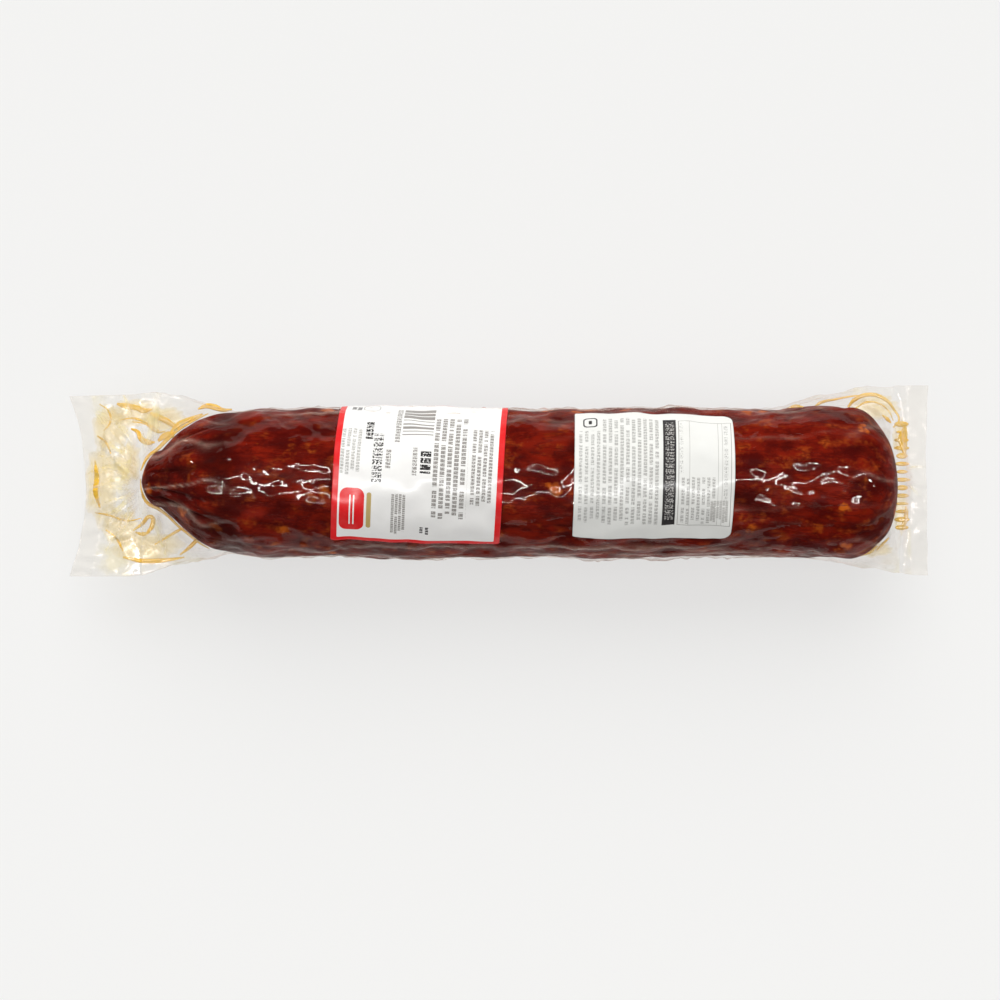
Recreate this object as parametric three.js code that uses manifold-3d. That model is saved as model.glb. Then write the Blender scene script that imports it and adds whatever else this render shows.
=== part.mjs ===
// A large dry-cured sausage in its clear vacuum pouch, lying on its side, with two paper labels
// stuck on the pouch. Millimetres: +X along the sausage from its tapered nose to its blunt heel,
// +Z up, the pouch resting on Z = 0, and the origin under the middle of the pouch.

import * as THREE from 'three';
import { mergeVertices } from 'three/addons/utils/BufferGeometryUtils.js';
import Module from 'manifold-3d';

const wasm = await Module();
wasm.setup();

// ---------------------------------------------------------------- driving dimensions

// The sausage
const SAUSAGE_LENGTH = 332;
const SAUSAGE_DIAMETER = 65;
const NOSE_LENGTH = 44;        // from the tip to where the sausage reaches its full diameter
const KNOB_LENGTH = 9;         // blunt knob where the skin was gathered
const KNOB_DIAMETER = 26;
const HEEL_LENGTH = 24;        // rounding of the blunt end
const HEEL_SQUARENESS = 2.3;   // 2 would make the heel half an ellipsoid
const FLAT_WIDTH = 20;         // strip pressed flat under its own weight
const SWELL = 0.4;             // slow rise and fall of the radius along the length
const SWELL_SPACING = 94;
const BOW = 1;                 // sideways bend of the middle, towards -Y

// The pouch: one tube of film, welded shut across each end
const FILM = 0.6;              // wall thickness of the film solid
const CLEARANCE = 0.3;         // between neighbouring pieces
const SEAL_WIDTH = 10;         // weld at the nose end
const NOSE_FLAP = 33.5;        // from the sausage's tip to the pouch's corners
const NOSE_FLAP_WIDTH = 80;
const NOSE_FLAP_SHIFT = -1.5;  // sideways offset of the flap
const NOSE_EDGE_HOLLOW = 8;    // how far the middle of the cut edge is drawn in
const NOSE_LANDING = 12;       // free film from the tip down to the flat flap
const NOSE_SLACK = 5;          // how loosely the film follows the tapered nose
const NOSE_DROOP = 8;          // how far the cut edge hangs below the sausage's axis
const HEEL_FLAP = 15.2;
const HEEL_FLAP_WIDTH = 84;
const HEEL_FLAP_SHIFT = 1;
const HEEL_EDGE_HOLLOW = 1.5;
const HEEL_LANDING = 8;
const HEEL_SLACK = 4;
const HEEL_DROOP = 3;
const HEEL_SPREAD = 50;        // length over which the pouch widens from the body to the heel flap
const FLAP_ARCH = 4;           // how far the flaps' sides hang below their middle

// The labels: each is a sheet on the pouch, placed by its middle's distance from the nose tip and
// its angle round the sausage from the top, and turned by its skew
const PRODUCT_LABEL = {
  width: 73, height: 78, fromTip: 123, turn: 17, skew: -3, corner: 1.5,
};
const DETAILS_LABEL = {
  width: 69.5, height: 62, fromTip: 224.8, turn: 8, skew: -1.2, corner: 5,
};
const LABEL_THICKNESS = 0.4;

// Fineness of the faceted surfaces
const SIDES = 32;              // even: the ring's first and middle points are the pouch's side folds
const BODY_STEP = 13;
const END_STEP = 5;            // between sections over the nose, the heel and the flaps
const LANDING_RINGS = 5;
const LABEL_ROWS = 18;
const LABEL_COLUMNS = 6;
const CORNER_RINGS = 4;        // rows over a label's corner, and rings over the knob
const HEEL_RINGS = 7;
const BLUNT_CORNER = 0.9;      // share of a corner's radius by which a label's end row is shorter
const FLAT_POINTS_AT = 0.8;    // share of the flat strip's half width where a section has its points
const CLOSEST_HUG = 0.4;       // least share of the pouch's width that a section's points crowd into

// ---------------------------------------------------------------- derived sizes

const RADIUS = SAUSAGE_DIAMETER / 2;
const FACET_DIP = RADIUS * (1 - Math.cos(Math.PI / SIDES));   // how far a section's flats lie inside it
const FLAT_DROP = Math.sqrt(RADIUS ** 2 - (FLAT_WIDTH / 2) ** 2);   // axis down to the flat strip
const AXIS_HEIGHT = FLAT_DROP + CLEARANCE + FILM;
const TIP = -SAUSAGE_LENGTH / 2;
const HEEL = SAUSAGE_LENGTH / 2;

// ---------------------------------------------------------------- small helpers

const clamp01 = (t) => Math.min(1, Math.max(0, t));
const smooth = (t) => THREE.MathUtils.smoothstep(t, 0, 1);
const mix = THREE.MathUtils.lerp;

function steps(from, to, size) {
  const count = Math.max(1, Math.ceil((to - from) / size));
  return Array.from({ length: count }, (_, i) => mix(from, to, i / count));
}

// Angles round a section, from the +Y side over the top, with three points on the flat strip.
function ringAngles() {
  const half = SIDES / 2;
  const flat = Math.asin(FLAT_POINTS_AT * FLAT_WIDTH / 2 / RADIUS);
  const upper = Array.from({ length: half + 1 }, (_, i) => Math.PI * i / half);
  const lowerCount = half / 2 - 1;
  const quarter = Math.PI / 2 - flat;
  const left = Array.from({ length: lowerCount }, (_, i) => Math.PI + quarter * (i + 1) / lowerCount);
  const right = left.map((angle) => 3 * Math.PI - angle).reverse();
  return [...upper, ...left, 1.5 * Math.PI, ...right];
}

const ANGLES = ringAngles();

// ---------------------------------------------------------------- the sausage's shape

// Radius at a distance from the nose tip, of a sausage whose full radius is given.
function radiusFromTip(t, full) {
  const knob = KNOB_DIAMETER / 2;
  if (t >= NOSE_LENGTH) return full;
  if (t >= KNOB_LENGTH) {
    const s = (t - KNOB_LENGTH) / (NOSE_LENGTH - KNOB_LENGTH);
    return knob + (full - knob) * Math.sin(s * Math.PI / 2);
  }
  return knob * Math.sqrt(1 - (1 - clamp01(t / KNOB_LENGTH)) ** 2);
}

function heelShare(d) {
  const s = 1 - clamp01(d / HEEL_LENGTH);
  return (1 - s ** HEEL_SQUARENESS) ** (1 / HEEL_SQUARENESS);
}

function swellAt(x) {
  const ends = clamp01((x - TIP) / NOSE_LENGTH) * clamp01((HEEL - x) / HEEL_LENGTH);
  return SWELL * Math.sin(2 * Math.PI * (x - TIP) / SWELL_SPACING) * ends;
}

function sausageRadius(x) {
  return radiusFromTip(x - TIP, RADIUS) * heelShare(HEEL - x) + swellAt(x);
}

function bowAt(x) {
  return -BOW * Math.sin(Math.PI * clamp01((x - TIP) / SAUSAGE_LENGTH));
}

function sausageRing(x) {
  const r = sausageRadius(x);
  return ANGLES.map((a) => {
    const z = Math.max(r * Math.sin(a), -FLAT_DROP);
    return new THREE.Vector3(x, r * Math.cos(a) + bowAt(x), AXIS_HEIGHT + z);
  });
}

// Rings crowd together towards a rounded end, at distances from it that follow a quarter circle.
function capStations(length, count) {
  return Array.from({ length: count }, (_, i) => length * (1 - Math.cos((i + 1) / count * Math.PI / 2)));
}

function sausageSolid() {
  const knob = capStations(KNOB_LENGTH, CORNER_RINGS).map((t) => TIP + t);
  const nose = steps(TIP + KNOB_LENGTH, TIP + NOSE_LENGTH, 7).slice(1);
  const body = steps(TIP + NOSE_LENGTH, HEEL - HEEL_LENGTH, BODY_STEP);
  const heel = capStations(HEEL_LENGTH, HEEL_RINGS).map((d) => HEEL - d).reverse();
  const rings = [...knob, ...nose, ...body, ...heel].map(sausageRing);
  const tip = new THREE.Vector3(TIP, bowAt(TIP), AXIS_HEIGHT);
  const heelPole = new THREE.Vector3(HEEL, bowAt(HEEL), AXIS_HEIGHT);
  return loft(rings, poleCap(tip), poleCap(heelPole));
}

// ---------------------------------------------------------------- the pouch's shape

// Radius of the tube of film: it follows the sausage with a little slack at the tapered nose and
// the heel, then falls in a hollow curve from each end of the sausage to the flat flap. The
// outer face (grow above 0) stands out by the film's thickness, endwise too.
function filmRadius(x, grow) {
  const t = x - TIP + grow;
  const d = HEEL - x + grow;
  const noseT = mix(NOSE_SLACK, NOSE_LENGTH, clamp01(t / NOSE_LENGTH)) + Math.max(0, t - NOSE_LENGTH);
  const heelD = mix(HEEL_SLACK, HEEL_LENGTH, clamp01(d / HEEL_LENGTH)) + Math.max(0, d - HEEL_LENGTH);
  const noseFall = clamp01(1 + t / NOSE_LANDING) ** 2;
  const heelFall = clamp01(1 + d / HEEL_LANDING) ** 2;
  const tube = radiusFromTip(noseT, RADIUS) * heelShare(heelD) + swellAt(x);
  return (tube + FACET_DIP) * noseFall * heelFall + CLEARANCE + grow;
}

// Half the pouch's width: the body's radius in the middle, spreading to each flap.
function halfWidth(x) {
  const nose = smooth((TIP + NOSE_LENGTH - x) / NOSE_LENGTH);
  const heel = smooth((x - HEEL + HEEL_SPREAD) / (HEEL_SPREAD + HEEL_FLAP));
  const body = RADIUS + FACET_DIP + CLEARANCE + swellAt(x);
  return body + nose * (NOSE_FLAP_WIDTH / 2 - FILM - body) + heel * (HEEL_FLAP_WIDTH / 2 - FILM - body);
}

function flapShift(x) {
  const nose = smooth((TIP + NOSE_LENGTH - x) / NOSE_LENGTH);
  const heel = smooth((x - HEEL + HEEL_SPREAD) / (HEEL_SPREAD + HEEL_FLAP));
  return bowAt(x) + nose * NOSE_FLAP_SHIFT + heel * HEEL_FLAP_SHIFT;
}

// How far along a flap a station lies: 0 at the end of the sausage, 1 at the cut edge.
const alongNoseFlap = (x) => clamp01((TIP - x) / NOSE_FLAP);
const alongHeelFlap = (x) => clamp01((x - HEEL) / HEEL_FLAP);

// One section of the film's inner face (grow 0) or outer face (grow FILM).
function filmRing(x, grow) {
  const radius = filmRadius(x, grow);
  const width = halfWidth(x) + grow;
  const half = CLEARANCE / 2 + grow;
  const nose = alongNoseFlap(x);
  const heel = alongHeelFlap(x);
  const droop = nose ** 2 * NOSE_DROOP + heel ** 2 * HEEL_DROOP;
  const lowest = -FLAT_DROP - CLEARANCE - grow;
  const hug = Math.max(radius, CLOSEST_HUG * width);
  const steepness = width ** 2 / (2 * radius ** 2);   // gives the top the sausage's own roundness
  return ANGLES.map((a) => {
    const c = Math.cos(a);
    const across = hug * c + (width - hug) * c ** 3;
    const share = clamp01(1 - (across / width) ** 2);
    const bulge = share < 1e-9 ? 0 : half + (radius - half) * share ** steepness;
    const arch = FLAP_ARCH * (nose + heel) * (1 - share);
    const z = Math.max(Math.sign(Math.sin(a)) * bulge, lowest) - droop - arch;
    const drawnIn = share * (nose * NOSE_EDGE_HOLLOW - heel * HEEL_EDGE_HOLLOW);
    return new THREE.Vector3(x + drawnIn, across + flapShift(x), AXIS_HEIGHT + z);
  });
}

// Sections crowd together where the film falls from the end of the sausage to the flap.
function pouchStations(from, to) {
  const noseLanding = capStations(NOSE_LANDING, LANDING_RINGS).map((t) => TIP - t).reverse();
  const heelLanding = capStations(HEEL_LANDING, LANDING_RINGS).map((d) => HEEL + d);
  return [
    ...steps(from, TIP - NOSE_LANDING, END_STEP),
    ...noseLanding,
    ...steps(TIP, TIP + NOSE_LENGTH, END_STEP),
    ...steps(TIP + NOSE_LENGTH, HEEL - HEEL_SPREAD, BODY_STEP),
    ...steps(HEEL - HEEL_SPREAD, HEEL - HEEL_LENGTH, END_STEP),
    ...steps(HEEL - HEEL_LENGTH, HEEL, END_STEP),
    HEEL,
    ...heelLanding,
    ...steps(HEEL + HEEL_LANDING, to, END_STEP).slice(1),
    to,
  ];
}

// The cavity stops at the nose weld and runs out through the heel's cut edge as a slit, so the
// pouch is one open bag: its closing weld is left as two layers lying face to face.
function pouchSolid() {
  const edge = TIP - NOSE_FLAP;
  const mouth = HEEL + HEEL_FLAP;
  const outside = pouchStations(edge, mouth).map((x) => filmRing(x, FILM));
  const inside = pouchStations(edge + SEAL_WIDTH, mouth + 1).map((x) => filmRing(x, 0));
  const bag = toManifold(loft(outside, flatCap(0), flatCap(0)));
  const cavity = toManifold(loft(inside, flatCap(0), flatCap(0)));
  return fromManifold(bag.subtract(cavity));
}

// ---------------------------------------------------------------- the labels' shape

// A point on a surface that stands `lift` above the film, `angle` round from the top.
function aboveFilm(x, angle, lift) {
  const r = filmRadius(x, FILM) + FACET_DIP + lift;
  return new THREE.Vector3(x, r * Math.sin(angle) + bowAt(x), AXIS_HEIGHT + r * Math.cos(angle));
}

// Half the width of a round-cornered sheet at a height above its middle.
function labelHalfWidth(label, v) {
  const intoCorner = Math.abs(v) - (label.height / 2 - label.corner);
  const rounding = intoCorner <= 0 ? 0 : label.corner - Math.sqrt(label.corner ** 2 - intoCorner ** 2);
  return label.width / 2 - Math.min(rounding, label.corner * BLUNT_CORNER);
}

function labelRow(label, v, lift) {
  const skew = THREE.MathUtils.degToRad(label.skew);
  const half = labelHalfWidth(label, v);
  return Array.from({ length: LABEL_COLUMNS + 1 }, (_, i) => {
    const u = mix(-half, half, i / LABEL_COLUMNS);
    const x = TIP + label.fromTip + u * Math.cos(skew) - v * Math.sin(skew);
    const arc = u * Math.sin(skew) + v * Math.cos(skew);
    const angle = THREE.MathUtils.degToRad(label.turn) + arc / (RADIUS + CLEARANCE + FILM);
    return aboveFilm(x, angle, lift);
  });
}

function labelSolid(label) {
  const end = label.height / 2;
  const inner = end - label.corner;
  const corner = capStations(label.corner, CORNER_RINGS).map((v) => end - v);
  const upper = [end, ...corner.slice(0, -1)];
  const rows = [...upper, ...steps(-inner, inner, 2 * inner / LABEL_ROWS).map((v) => -v), -inner];
  const heights = [...rows, ...upper.slice().reverse().map((v) => -v)];
  const top = CLEARANCE + LABEL_THICKNESS;
  const rings = heights.map((v) => [
    ...labelRow(label, v, top),
    ...labelRow(label, v, CLEARANCE).reverse(),
  ]);
  return loft(rings, flatCap(1), flatCap(1));
}

// ---------------------------------------------------------------- building closed surfaces

// Skins a row of rings that have the same number of points each, and closes both ends.
function loft(rings, startCap, endCap) {
  const n = rings[0].length;
  const points = rings.flat();
  const faces = [];
  for (let i = 0; i + 1 < rings.length; i += 1) {
    for (let j = 0; j < n; j += 1) {
      const a = i * n + j;
      const b = i * n + (j + 1) % n;
      faces.push([a, a + n, b], [b, a + n, b + n]);
    }
  }
  startCap(points, faces, 0, n, false);
  endCap(points, faces, (rings.length - 1) * n, n, true);
  return outward(points, faces);
}

// Closes a ring with a fan to one point.
function poleCap(pole) {
  return (points, faces, first, n, flip) => {
    points.push(pole);
    for (let j = 0; j < n; j += 1) {
      const edge = [first + j, first + (j + 1) % n];
      faces.push(flip ? [edge[1], edge[0], points.length - 1] : [...edge, points.length - 1]);
    }
  };
}

// Closes a flattened ring by joining each point of its upper side to the one below it. The sides'
// own end points are shared on a folded tube (ends 0) and separate on a sheet (ends 1).
function flatCap(ends) {
  return (points, faces, first, n, flip) => {
    const below = (j) => (n - j - ends) % n;
    const add = (a, b, c) => {
      if (a === b || b === c || a === c) return;
      faces.push(flip ? [first + c, first + b, first + a] : [first + a, first + b, first + c]);
    };
    for (let j = 0; j < n / 2 - ends; j += 1) {
      add(j, j + 1, below(j));
      add(j + 1, below(j + 1), below(j));
    }
  };
}

// Makes one mesh of the faces, turned so that its volume is positive.
function outward(points, faces) {
  const volume = faces.reduce((sum, [a, b, c]) => {
    return sum + points[a].dot(points[b].clone().cross(points[c]));
  }, 0);
  const turned = volume > 0 ? faces : faces.map(([a, b, c]) => [a, c, b]);
  const geometry = new THREE.BufferGeometry().setFromPoints(points);
  geometry.setIndex(turned.flat());
  return mergeVertices(geometry, 1e-5);
}

function toManifold(geometry) {
  const vertProperties = new Float32Array(geometry.attributes.position.array);
  const triVerts = new Uint32Array(geometry.index.array);
  return new wasm.Manifold(new wasm.Mesh({ numProp: 3, vertProperties, triVerts }));
}

function fromManifold(solid) {
  const mesh = solid.getMesh();
  const geometry = new THREE.BufferGeometry();
  geometry.setAttribute('position', new THREE.BufferAttribute(mesh.vertProperties, 3));
  geometry.setIndex(Array.from(mesh.triVerts));
  return geometry;
}

// ---------------------------------------------------------------- materials and assembly

const CURED_MEAT = new THREE.MeshStandardMaterial({ color: 0x6e1c10, roughness: 0.55, metalness: 0 });
const CLEAR_FILM = new THREE.MeshStandardMaterial({
  color: 0xf4efe2, roughness: 0.12, metalness: 0, transparent: true, opacity: 0.35,
});
const LABEL_PAPER = new THREE.MeshStandardMaterial({ color: 0xefeeec, roughness: 0.6, metalness: 0 });

function piece(name, geometry, material) {
  geometry.computeVertexNormals();
  const mesh = new THREE.Mesh(geometry, material);
  mesh.name = name;
  return mesh;
}

// Puts the origin under the middle of the pouch's box, on the surface it lies on.
function centred(group) {
  const middle = new THREE.Box3().setFromObject(group, true).getCenter(new THREE.Vector3());
  group.position.set(-middle.x, -middle.y, 0);
  return group;
}

const packedSausage = new THREE.Group();
packedSausage.name = 'packed_sausage';
packedSausage.add(
  piece('sausage', sausageSolid(), CURED_MEAT),
  piece('vacuum_pouch', pouchSolid(), CLEAR_FILM),
  piece('product_label', labelSolid(PRODUCT_LABEL), LABEL_PAPER),
  piece('details_label', labelSolid(DETAILS_LABEL), LABEL_PAPER),
);

export default centred(packedSausage);
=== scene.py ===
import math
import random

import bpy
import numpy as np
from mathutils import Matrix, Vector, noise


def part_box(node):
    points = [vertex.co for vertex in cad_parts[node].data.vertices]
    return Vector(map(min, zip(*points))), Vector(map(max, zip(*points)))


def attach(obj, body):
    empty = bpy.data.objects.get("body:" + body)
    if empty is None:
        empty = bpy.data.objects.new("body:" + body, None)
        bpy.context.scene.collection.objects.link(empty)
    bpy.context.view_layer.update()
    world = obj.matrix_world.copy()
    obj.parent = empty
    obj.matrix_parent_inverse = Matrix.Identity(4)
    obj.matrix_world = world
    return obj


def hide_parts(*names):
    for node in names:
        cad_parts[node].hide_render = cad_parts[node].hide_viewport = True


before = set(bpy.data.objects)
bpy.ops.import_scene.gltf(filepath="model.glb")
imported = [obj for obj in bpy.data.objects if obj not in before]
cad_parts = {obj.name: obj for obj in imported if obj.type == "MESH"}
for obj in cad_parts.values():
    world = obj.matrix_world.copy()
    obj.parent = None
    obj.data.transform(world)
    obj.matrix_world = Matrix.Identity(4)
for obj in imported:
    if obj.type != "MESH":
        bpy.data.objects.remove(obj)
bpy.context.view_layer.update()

# A large dry-cured sausage lying in its clear vacuum pouch, with two printed paper labels stuck on
# the film and streaks of oil trapped in the pouch's flat ends. Lengths are millimetres until a mesh
# is made; +X runs from the sausage's nose to its heel, +Z is up, and angles round the sausage start
# at its +Y side and go over the top.

# ---------------- sizes taken from the frame

MM = 0.001


def box_mm(node):
    low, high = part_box(node)
    return low / MM, high / MM


SAUSAGE_LOW, SAUSAGE_HIGH = box_mm("sausage")
POUCH_LOW, POUCH_HIGH = box_mm("vacuum_pouch")
TIP = SAUSAGE_LOW.x
HEEL = SAUSAGE_HIGH.x
LENGTH = HEEL - TIP

SWELL = 0.4              # slow rise and fall of the radius along the length
SWELL_SPACING = 94.0
BOW = 0.2                # sideways bend of the middle, towards -Y
NOSE_RISE = 2.2          # sideways lean of the nose behind its tip, towards +Y
NOSE_WAIST = 1.7         # how much the nose is drawn in where it meets the full round
FLAT_WIDTH = 20.0        # strip pressed flat under its own weight
ROUND_HEIGHT = SAUSAGE_HIGH.z - SAUSAGE_LOW.z - SWELL
RADIUS = (ROUND_HEIGHT ** 2 + (FLAT_WIDTH / 2) ** 2) / (2 * ROUND_HEIGHT)
FLAT_DROP = ROUND_HEIGHT - RADIUS
AXIS_Z = SAUSAGE_LOW.z + FLAT_DROP
RESTING_CLEARANCE = 0.05 # between the film and the floor
AXIS_Y = -0.75           # the flaps are not evenly wide, so the axis is off the pouch's middle

# The sausage's ends
KNOB_LENGTH = 9.0
KNOB_RADIUS = 13.0
KNOB_POINTEDNESS = 0.72  # 0.5 makes the knob's end round
NOSE_LENGTH = 44.0
HEEL_LENGTH = 24.0
HEEL_SQUARENESS = 2.3    # 2 makes the heel's edge round
HEEL_SKEW = 0.035        # the heel's -Y side reaches further than its +Y side

# The pouch
STAND_OFF = 0.35         # film above the plain round of the sausage
NOSE_FLAP = TIP - POUCH_LOW.x
HEEL_FLAP = POUCH_HIGH.x - HEEL
NOSE_FLAP_HALF = 40.0    # half the width of the cut edge
HEEL_FLAP_HALF = 42.0
NOSE_FLAP_SHIFT = -1.5   # sideways, of the whole flap
HEEL_FLAP_SHIFT = 1.0
NOSE_EDGE_HOLLOW = 8.0   # how far the middle of the cut edge is drawn in
HEEL_EDGE_HOLLOW = 1.5
NOSE_LANDING = 15.0      # free film from the tip down to the flat flap
HEEL_LANDING = 10.0
LANDING_STEEPNESS = 1.3
NOSE_SLACK = 5.0         # the film over the tip is as wide as the sausage is this far from its end
HEEL_SLACK = 4.0
NOSE_DROOP = 8.0         # how far the cut edge hangs below the axis
HEEL_DROOP = 3.0
HEEL_SPREAD = 60.0       # length over which the pouch widens before the heel's end
NOSE_LEAN = 0.4          # the pouch widens to +Y first, by up to this much
HEEL_LEAN = 1.4
FLAP_ARCH = 4.0          # how far a flap's sides hang below its middle
HALF_GAP = 0.75          # half the distance between the two layers of a flap
WELDED_GAP = 0.2         # the same across a weld
NOSE_WELD = 11.0
HEEL_WELD = 9.5

# The labels: "from_tip" is the paper's middle along the sausage, "turn" and "skew" are degrees round
# it and askew, the corners are how round each side's are, and "bulge" is how bowed the right side is
PRODUCT_LABEL = {
    "width": 73.0, "height": 78.0, "from_tip": 123.0, "turn": 17.0, "skew": -3.0,
    "left_corner": 1.2, "right_corner": 1.2, "bulge": 0.0,
}
DETAILS_LABEL = {
    "width": 68.0, "height": 62.6, "from_tip": 223.6, "turn": 8.6, "skew": -1.2,
    "left_corner": 0.8, "right_corner": 4.4, "bulge": 0.8,
}
PAPER_THICKNESS = 0.15
PAPER_LIFT = 0.12        # between the film and the paper
PAPER_STIFFNESS = 24     # passes that even out the film's relief under the paper
PAPER_PEAK_CLEARANCE = 0.25
PAPER_EVENING = 8

# Relief of the skin: sizes along the surface, and heights or depths
LUMP_SIZE, LUMP_HEIGHT = 8.5, 1.5
FINE_LUMP_SIZE, FINE_LUMP_HEIGHT = 4.0, 0.3
FURROW_SPACING, FURROW_DEPTH = 9.0, 0.6
PLEATS, PLEAT_DEPTH = 7, 2.0
PUCKERS, PUCKER_DEPTH = 5, 0.9
PLEAT_WANDER = 26.0
# Painted shade: the skin's colour darkens where its relief is deep, standing in for shade in the
# crevices.
CREVICE_SHADE_START, CREVICE_SHADE_RANGE = 0.35, 1.3   # how deep the skin's relief is where it starts to darken

# Relief of the film
FILM_EVENING = 6         # passes that even out the skin's lumps under the film
FACET_SIZE, FACET_HEIGHT = 7.0, 1.1
SMALL_FACET_SIZE, SMALL_FACET_HEIGHT = 4.2, 0.6
CRUMPLE_SHARE = 1.15
NOSE_GATHERS, HEEL_GATHERS = 6, 4
GATHER_HEIGHT = 0.6
# Fold groups: lowest and highest angle round the sausage in degrees, how many, and how high
FOLD_GROUPS = ((6, 36, 10, 1.0), (142, 176, 11, 1.0), (190, 350, 20, 1.0), (50, 130, 8, 0.35))
# Fans of creases: the fan's origin, the way it faces, half its angle, how many, nearest and furthest
CREASE_FANS = ((TIP + 6, 180, 92, 44, 8, 44), (HEEL - 6, 0, 78, 15, 8, 24))
WAVE_SIZE, WAVE_HEIGHT = 22.0, 1.8
BUCKLE_SIZE, BUCKLE_HEIGHT = 8.0, 1.5
SKIN_CLEARANCE = 0.08    # added where the film would cut into the skin
CREASE_SHARE = 0.75      # of the fan creases' height that lifts the flaps

# How the film runs from the sausage into the flaps
SIDE_HUG = 0.4           # least share of the flap's width over which the film stays close to the sausage
SIDE_SHARPNESS = 0.05    # how quickly the upper layer turns into the lower one at the pouch's sides
WELD_FADE = 1.5
CUT_EDGE_WAVER = 0.5
BRIDGE_CLEARNESS = 0.55  # how much clearer the film is where it bridges from the heel down to its flap

# Fineness: rows of points along each piece, and points round it
FILM_ROWS = 520
FILM_SIDES = 180
SKIN_ROWS = 430
SKIN_SIDES = 200
END_CROWDING = 6.0       # the skin's rows crowd together towards both ends
EVEN_SHARE = 0.72
PAPER_ROWS = 150

random.seed(21)

# ---------------- small helpers


def smooth(t):
    t = np.clip(t, 0, 1)
    return t * t * (3 - 2 * t)


def mix(a, b, t):
    return a + (b - a) * t


def hump(x, start, end):
    return np.sin(np.pi * np.clip((x - start) / (end - start), 0, 1)) ** 2


def grain(x, y, z, size, seed):
    """Smooth noise, about -0.7 to 0.7, with lumps of about the given size."""
    points = np.stack(np.broadcast_arrays(x, y, z), axis=-1) / size + seed * 13.7
    flat = [noise.noise(point) for point in points.reshape(-1, 3).tolist()]
    return np.array(flat).reshape(points.shape[:-1])


def angle_gap(angle, path):
    return (angle - path + np.pi) % (2 * np.pi) - np.pi


def blurred(field, passes):
    """A field over the film's grid, evened out along the pouch and round it."""
    for _ in range(passes):
        padded = np.vstack([field[:1], field, field[-1:]])
        field = (padded[:-2] + 2 * padded[1:-1] + padded[2:]) / 4
        field = (np.roll(field, 1, 1) + 2 * field + np.roll(field, -1, 1)) / 4
    return field


# ---------------- the plain shape


def tip_radius(t, full):
    """Radius at a distance from the nose tip, of a sausage with that full radius."""
    knob = KNOB_RADIUS * (1 - (1 - np.clip(t / KNOB_LENGTH, 0, 1)) ** 2) ** KNOB_POINTEDNESS
    along = np.clip((t - KNOB_LENGTH) / (NOSE_LENGTH - KNOB_LENGTH), 0, 1)
    taper = KNOB_RADIUS + (full - KNOB_RADIUS) * np.sin(along * np.pi / 2)
    return np.where(t < KNOB_LENGTH, knob, taper)


def heel_share(d):
    s = 1 - np.clip(d / HEEL_LENGTH, 0, 1)
    return (1 - s ** HEEL_SQUARENESS) ** (1 / HEEL_SQUARENESS)


def swell_at(x):
    ends = np.clip((x - TIP) / NOSE_LENGTH, 0, 1) * np.clip((HEEL - x) / HEEL_LENGTH, 0, 1)
    return SWELL * np.sin(2 * np.pi * (x - TIP) / SWELL_SPACING) * ends


def bow_at(x):
    bow = BOW * np.sin(np.pi * np.clip((x - TIP) / LENGTH, 0, 1))
    return AXIS_Y - bow + NOSE_RISE * hump(x, TIP - 6, TIP + 34)


def skin_radius(x):
    return tip_radius(x - TIP, RADIUS) * heel_share(HEEL - x) + swell_at(x)


def film_radius(x):
    """Radius of the film's tube: slack over the nose and heel, then falling smoothly to the flaps."""
    t = x - TIP
    d = HEEL - x
    nose_t = mix(NOSE_SLACK, NOSE_LENGTH, np.clip(t / NOSE_LENGTH, 0, 1))
    nose_t = nose_t + np.maximum(0, t - NOSE_LENGTH)
    heel_d = mix(HEEL_SLACK, HEEL_LENGTH, np.clip(d / HEEL_LENGTH, 0, 1))
    heel_d = heel_d + np.maximum(0, d - HEEL_LENGTH)
    falls = (smooth(1 + t / NOSE_LANDING) * smooth(1 + d / HEEL_LANDING)) ** LANDING_STEEPNESS
    return (tip_radius(nose_t, RADIUS) * heel_share(heel_d) + swell_at(x)) * falls + STAND_OFF


def spreads(x):
    """How far the pouch has widened into its nose flap and its heel flap, 0 to 1."""
    nose = smooth((TIP + NOSE_LENGTH - x) / NOSE_LENGTH)
    heel = smooth((x - HEEL + HEEL_SPREAD) / (HEEL_SPREAD + HEEL_FLAP))
    return nose, heel


def half_width(x):
    nose, heel = spreads(x)
    body = RADIUS + STAND_OFF + swell_at(x)
    return body + nose * (NOSE_FLAP_HALF - body) + heel * (HEEL_FLAP_HALF - body)


def middle_y(x):
    """The pouch's middle line; its +Y side spreads to the flaps sooner than its -Y side does."""
    nose, heel = spreads(x)
    lean = hump(x, POUCH_LOW.x, TIP + 52) * NOSE_LEAN + hump(x, HEEL - 70, POUCH_HIGH.x) * HEEL_LEAN
    return bow_at(x) + nose * NOSE_FLAP_SHIFT + heel * HEEL_FLAP_SHIFT + lean


def flap_shares(x):
    """How far along each flap a station lies: 0 at the end of the sausage, 1 at the cut edge."""
    return np.clip((TIP - x) / NOSE_FLAP, 0, 1), np.clip((x - HEEL) / HEEL_FLAP, 0, 1)


def outside_sausage(x, y):
    """0 where the film lies on the sausage, rising to 1 where its two layers lie on each other."""
    beside = np.abs(y - bow_at(x)) - skin_radius(np.clip(x, TIP, HEEL)) * (x > TIP) * (x < HEEL)
    beyond = np.maximum(TIP - x, x - HEEL)
    return smooth((np.where(beyond > 0, beyond, beside) - 0.5) / 7)


# ---------------- relief of skin and film


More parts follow.
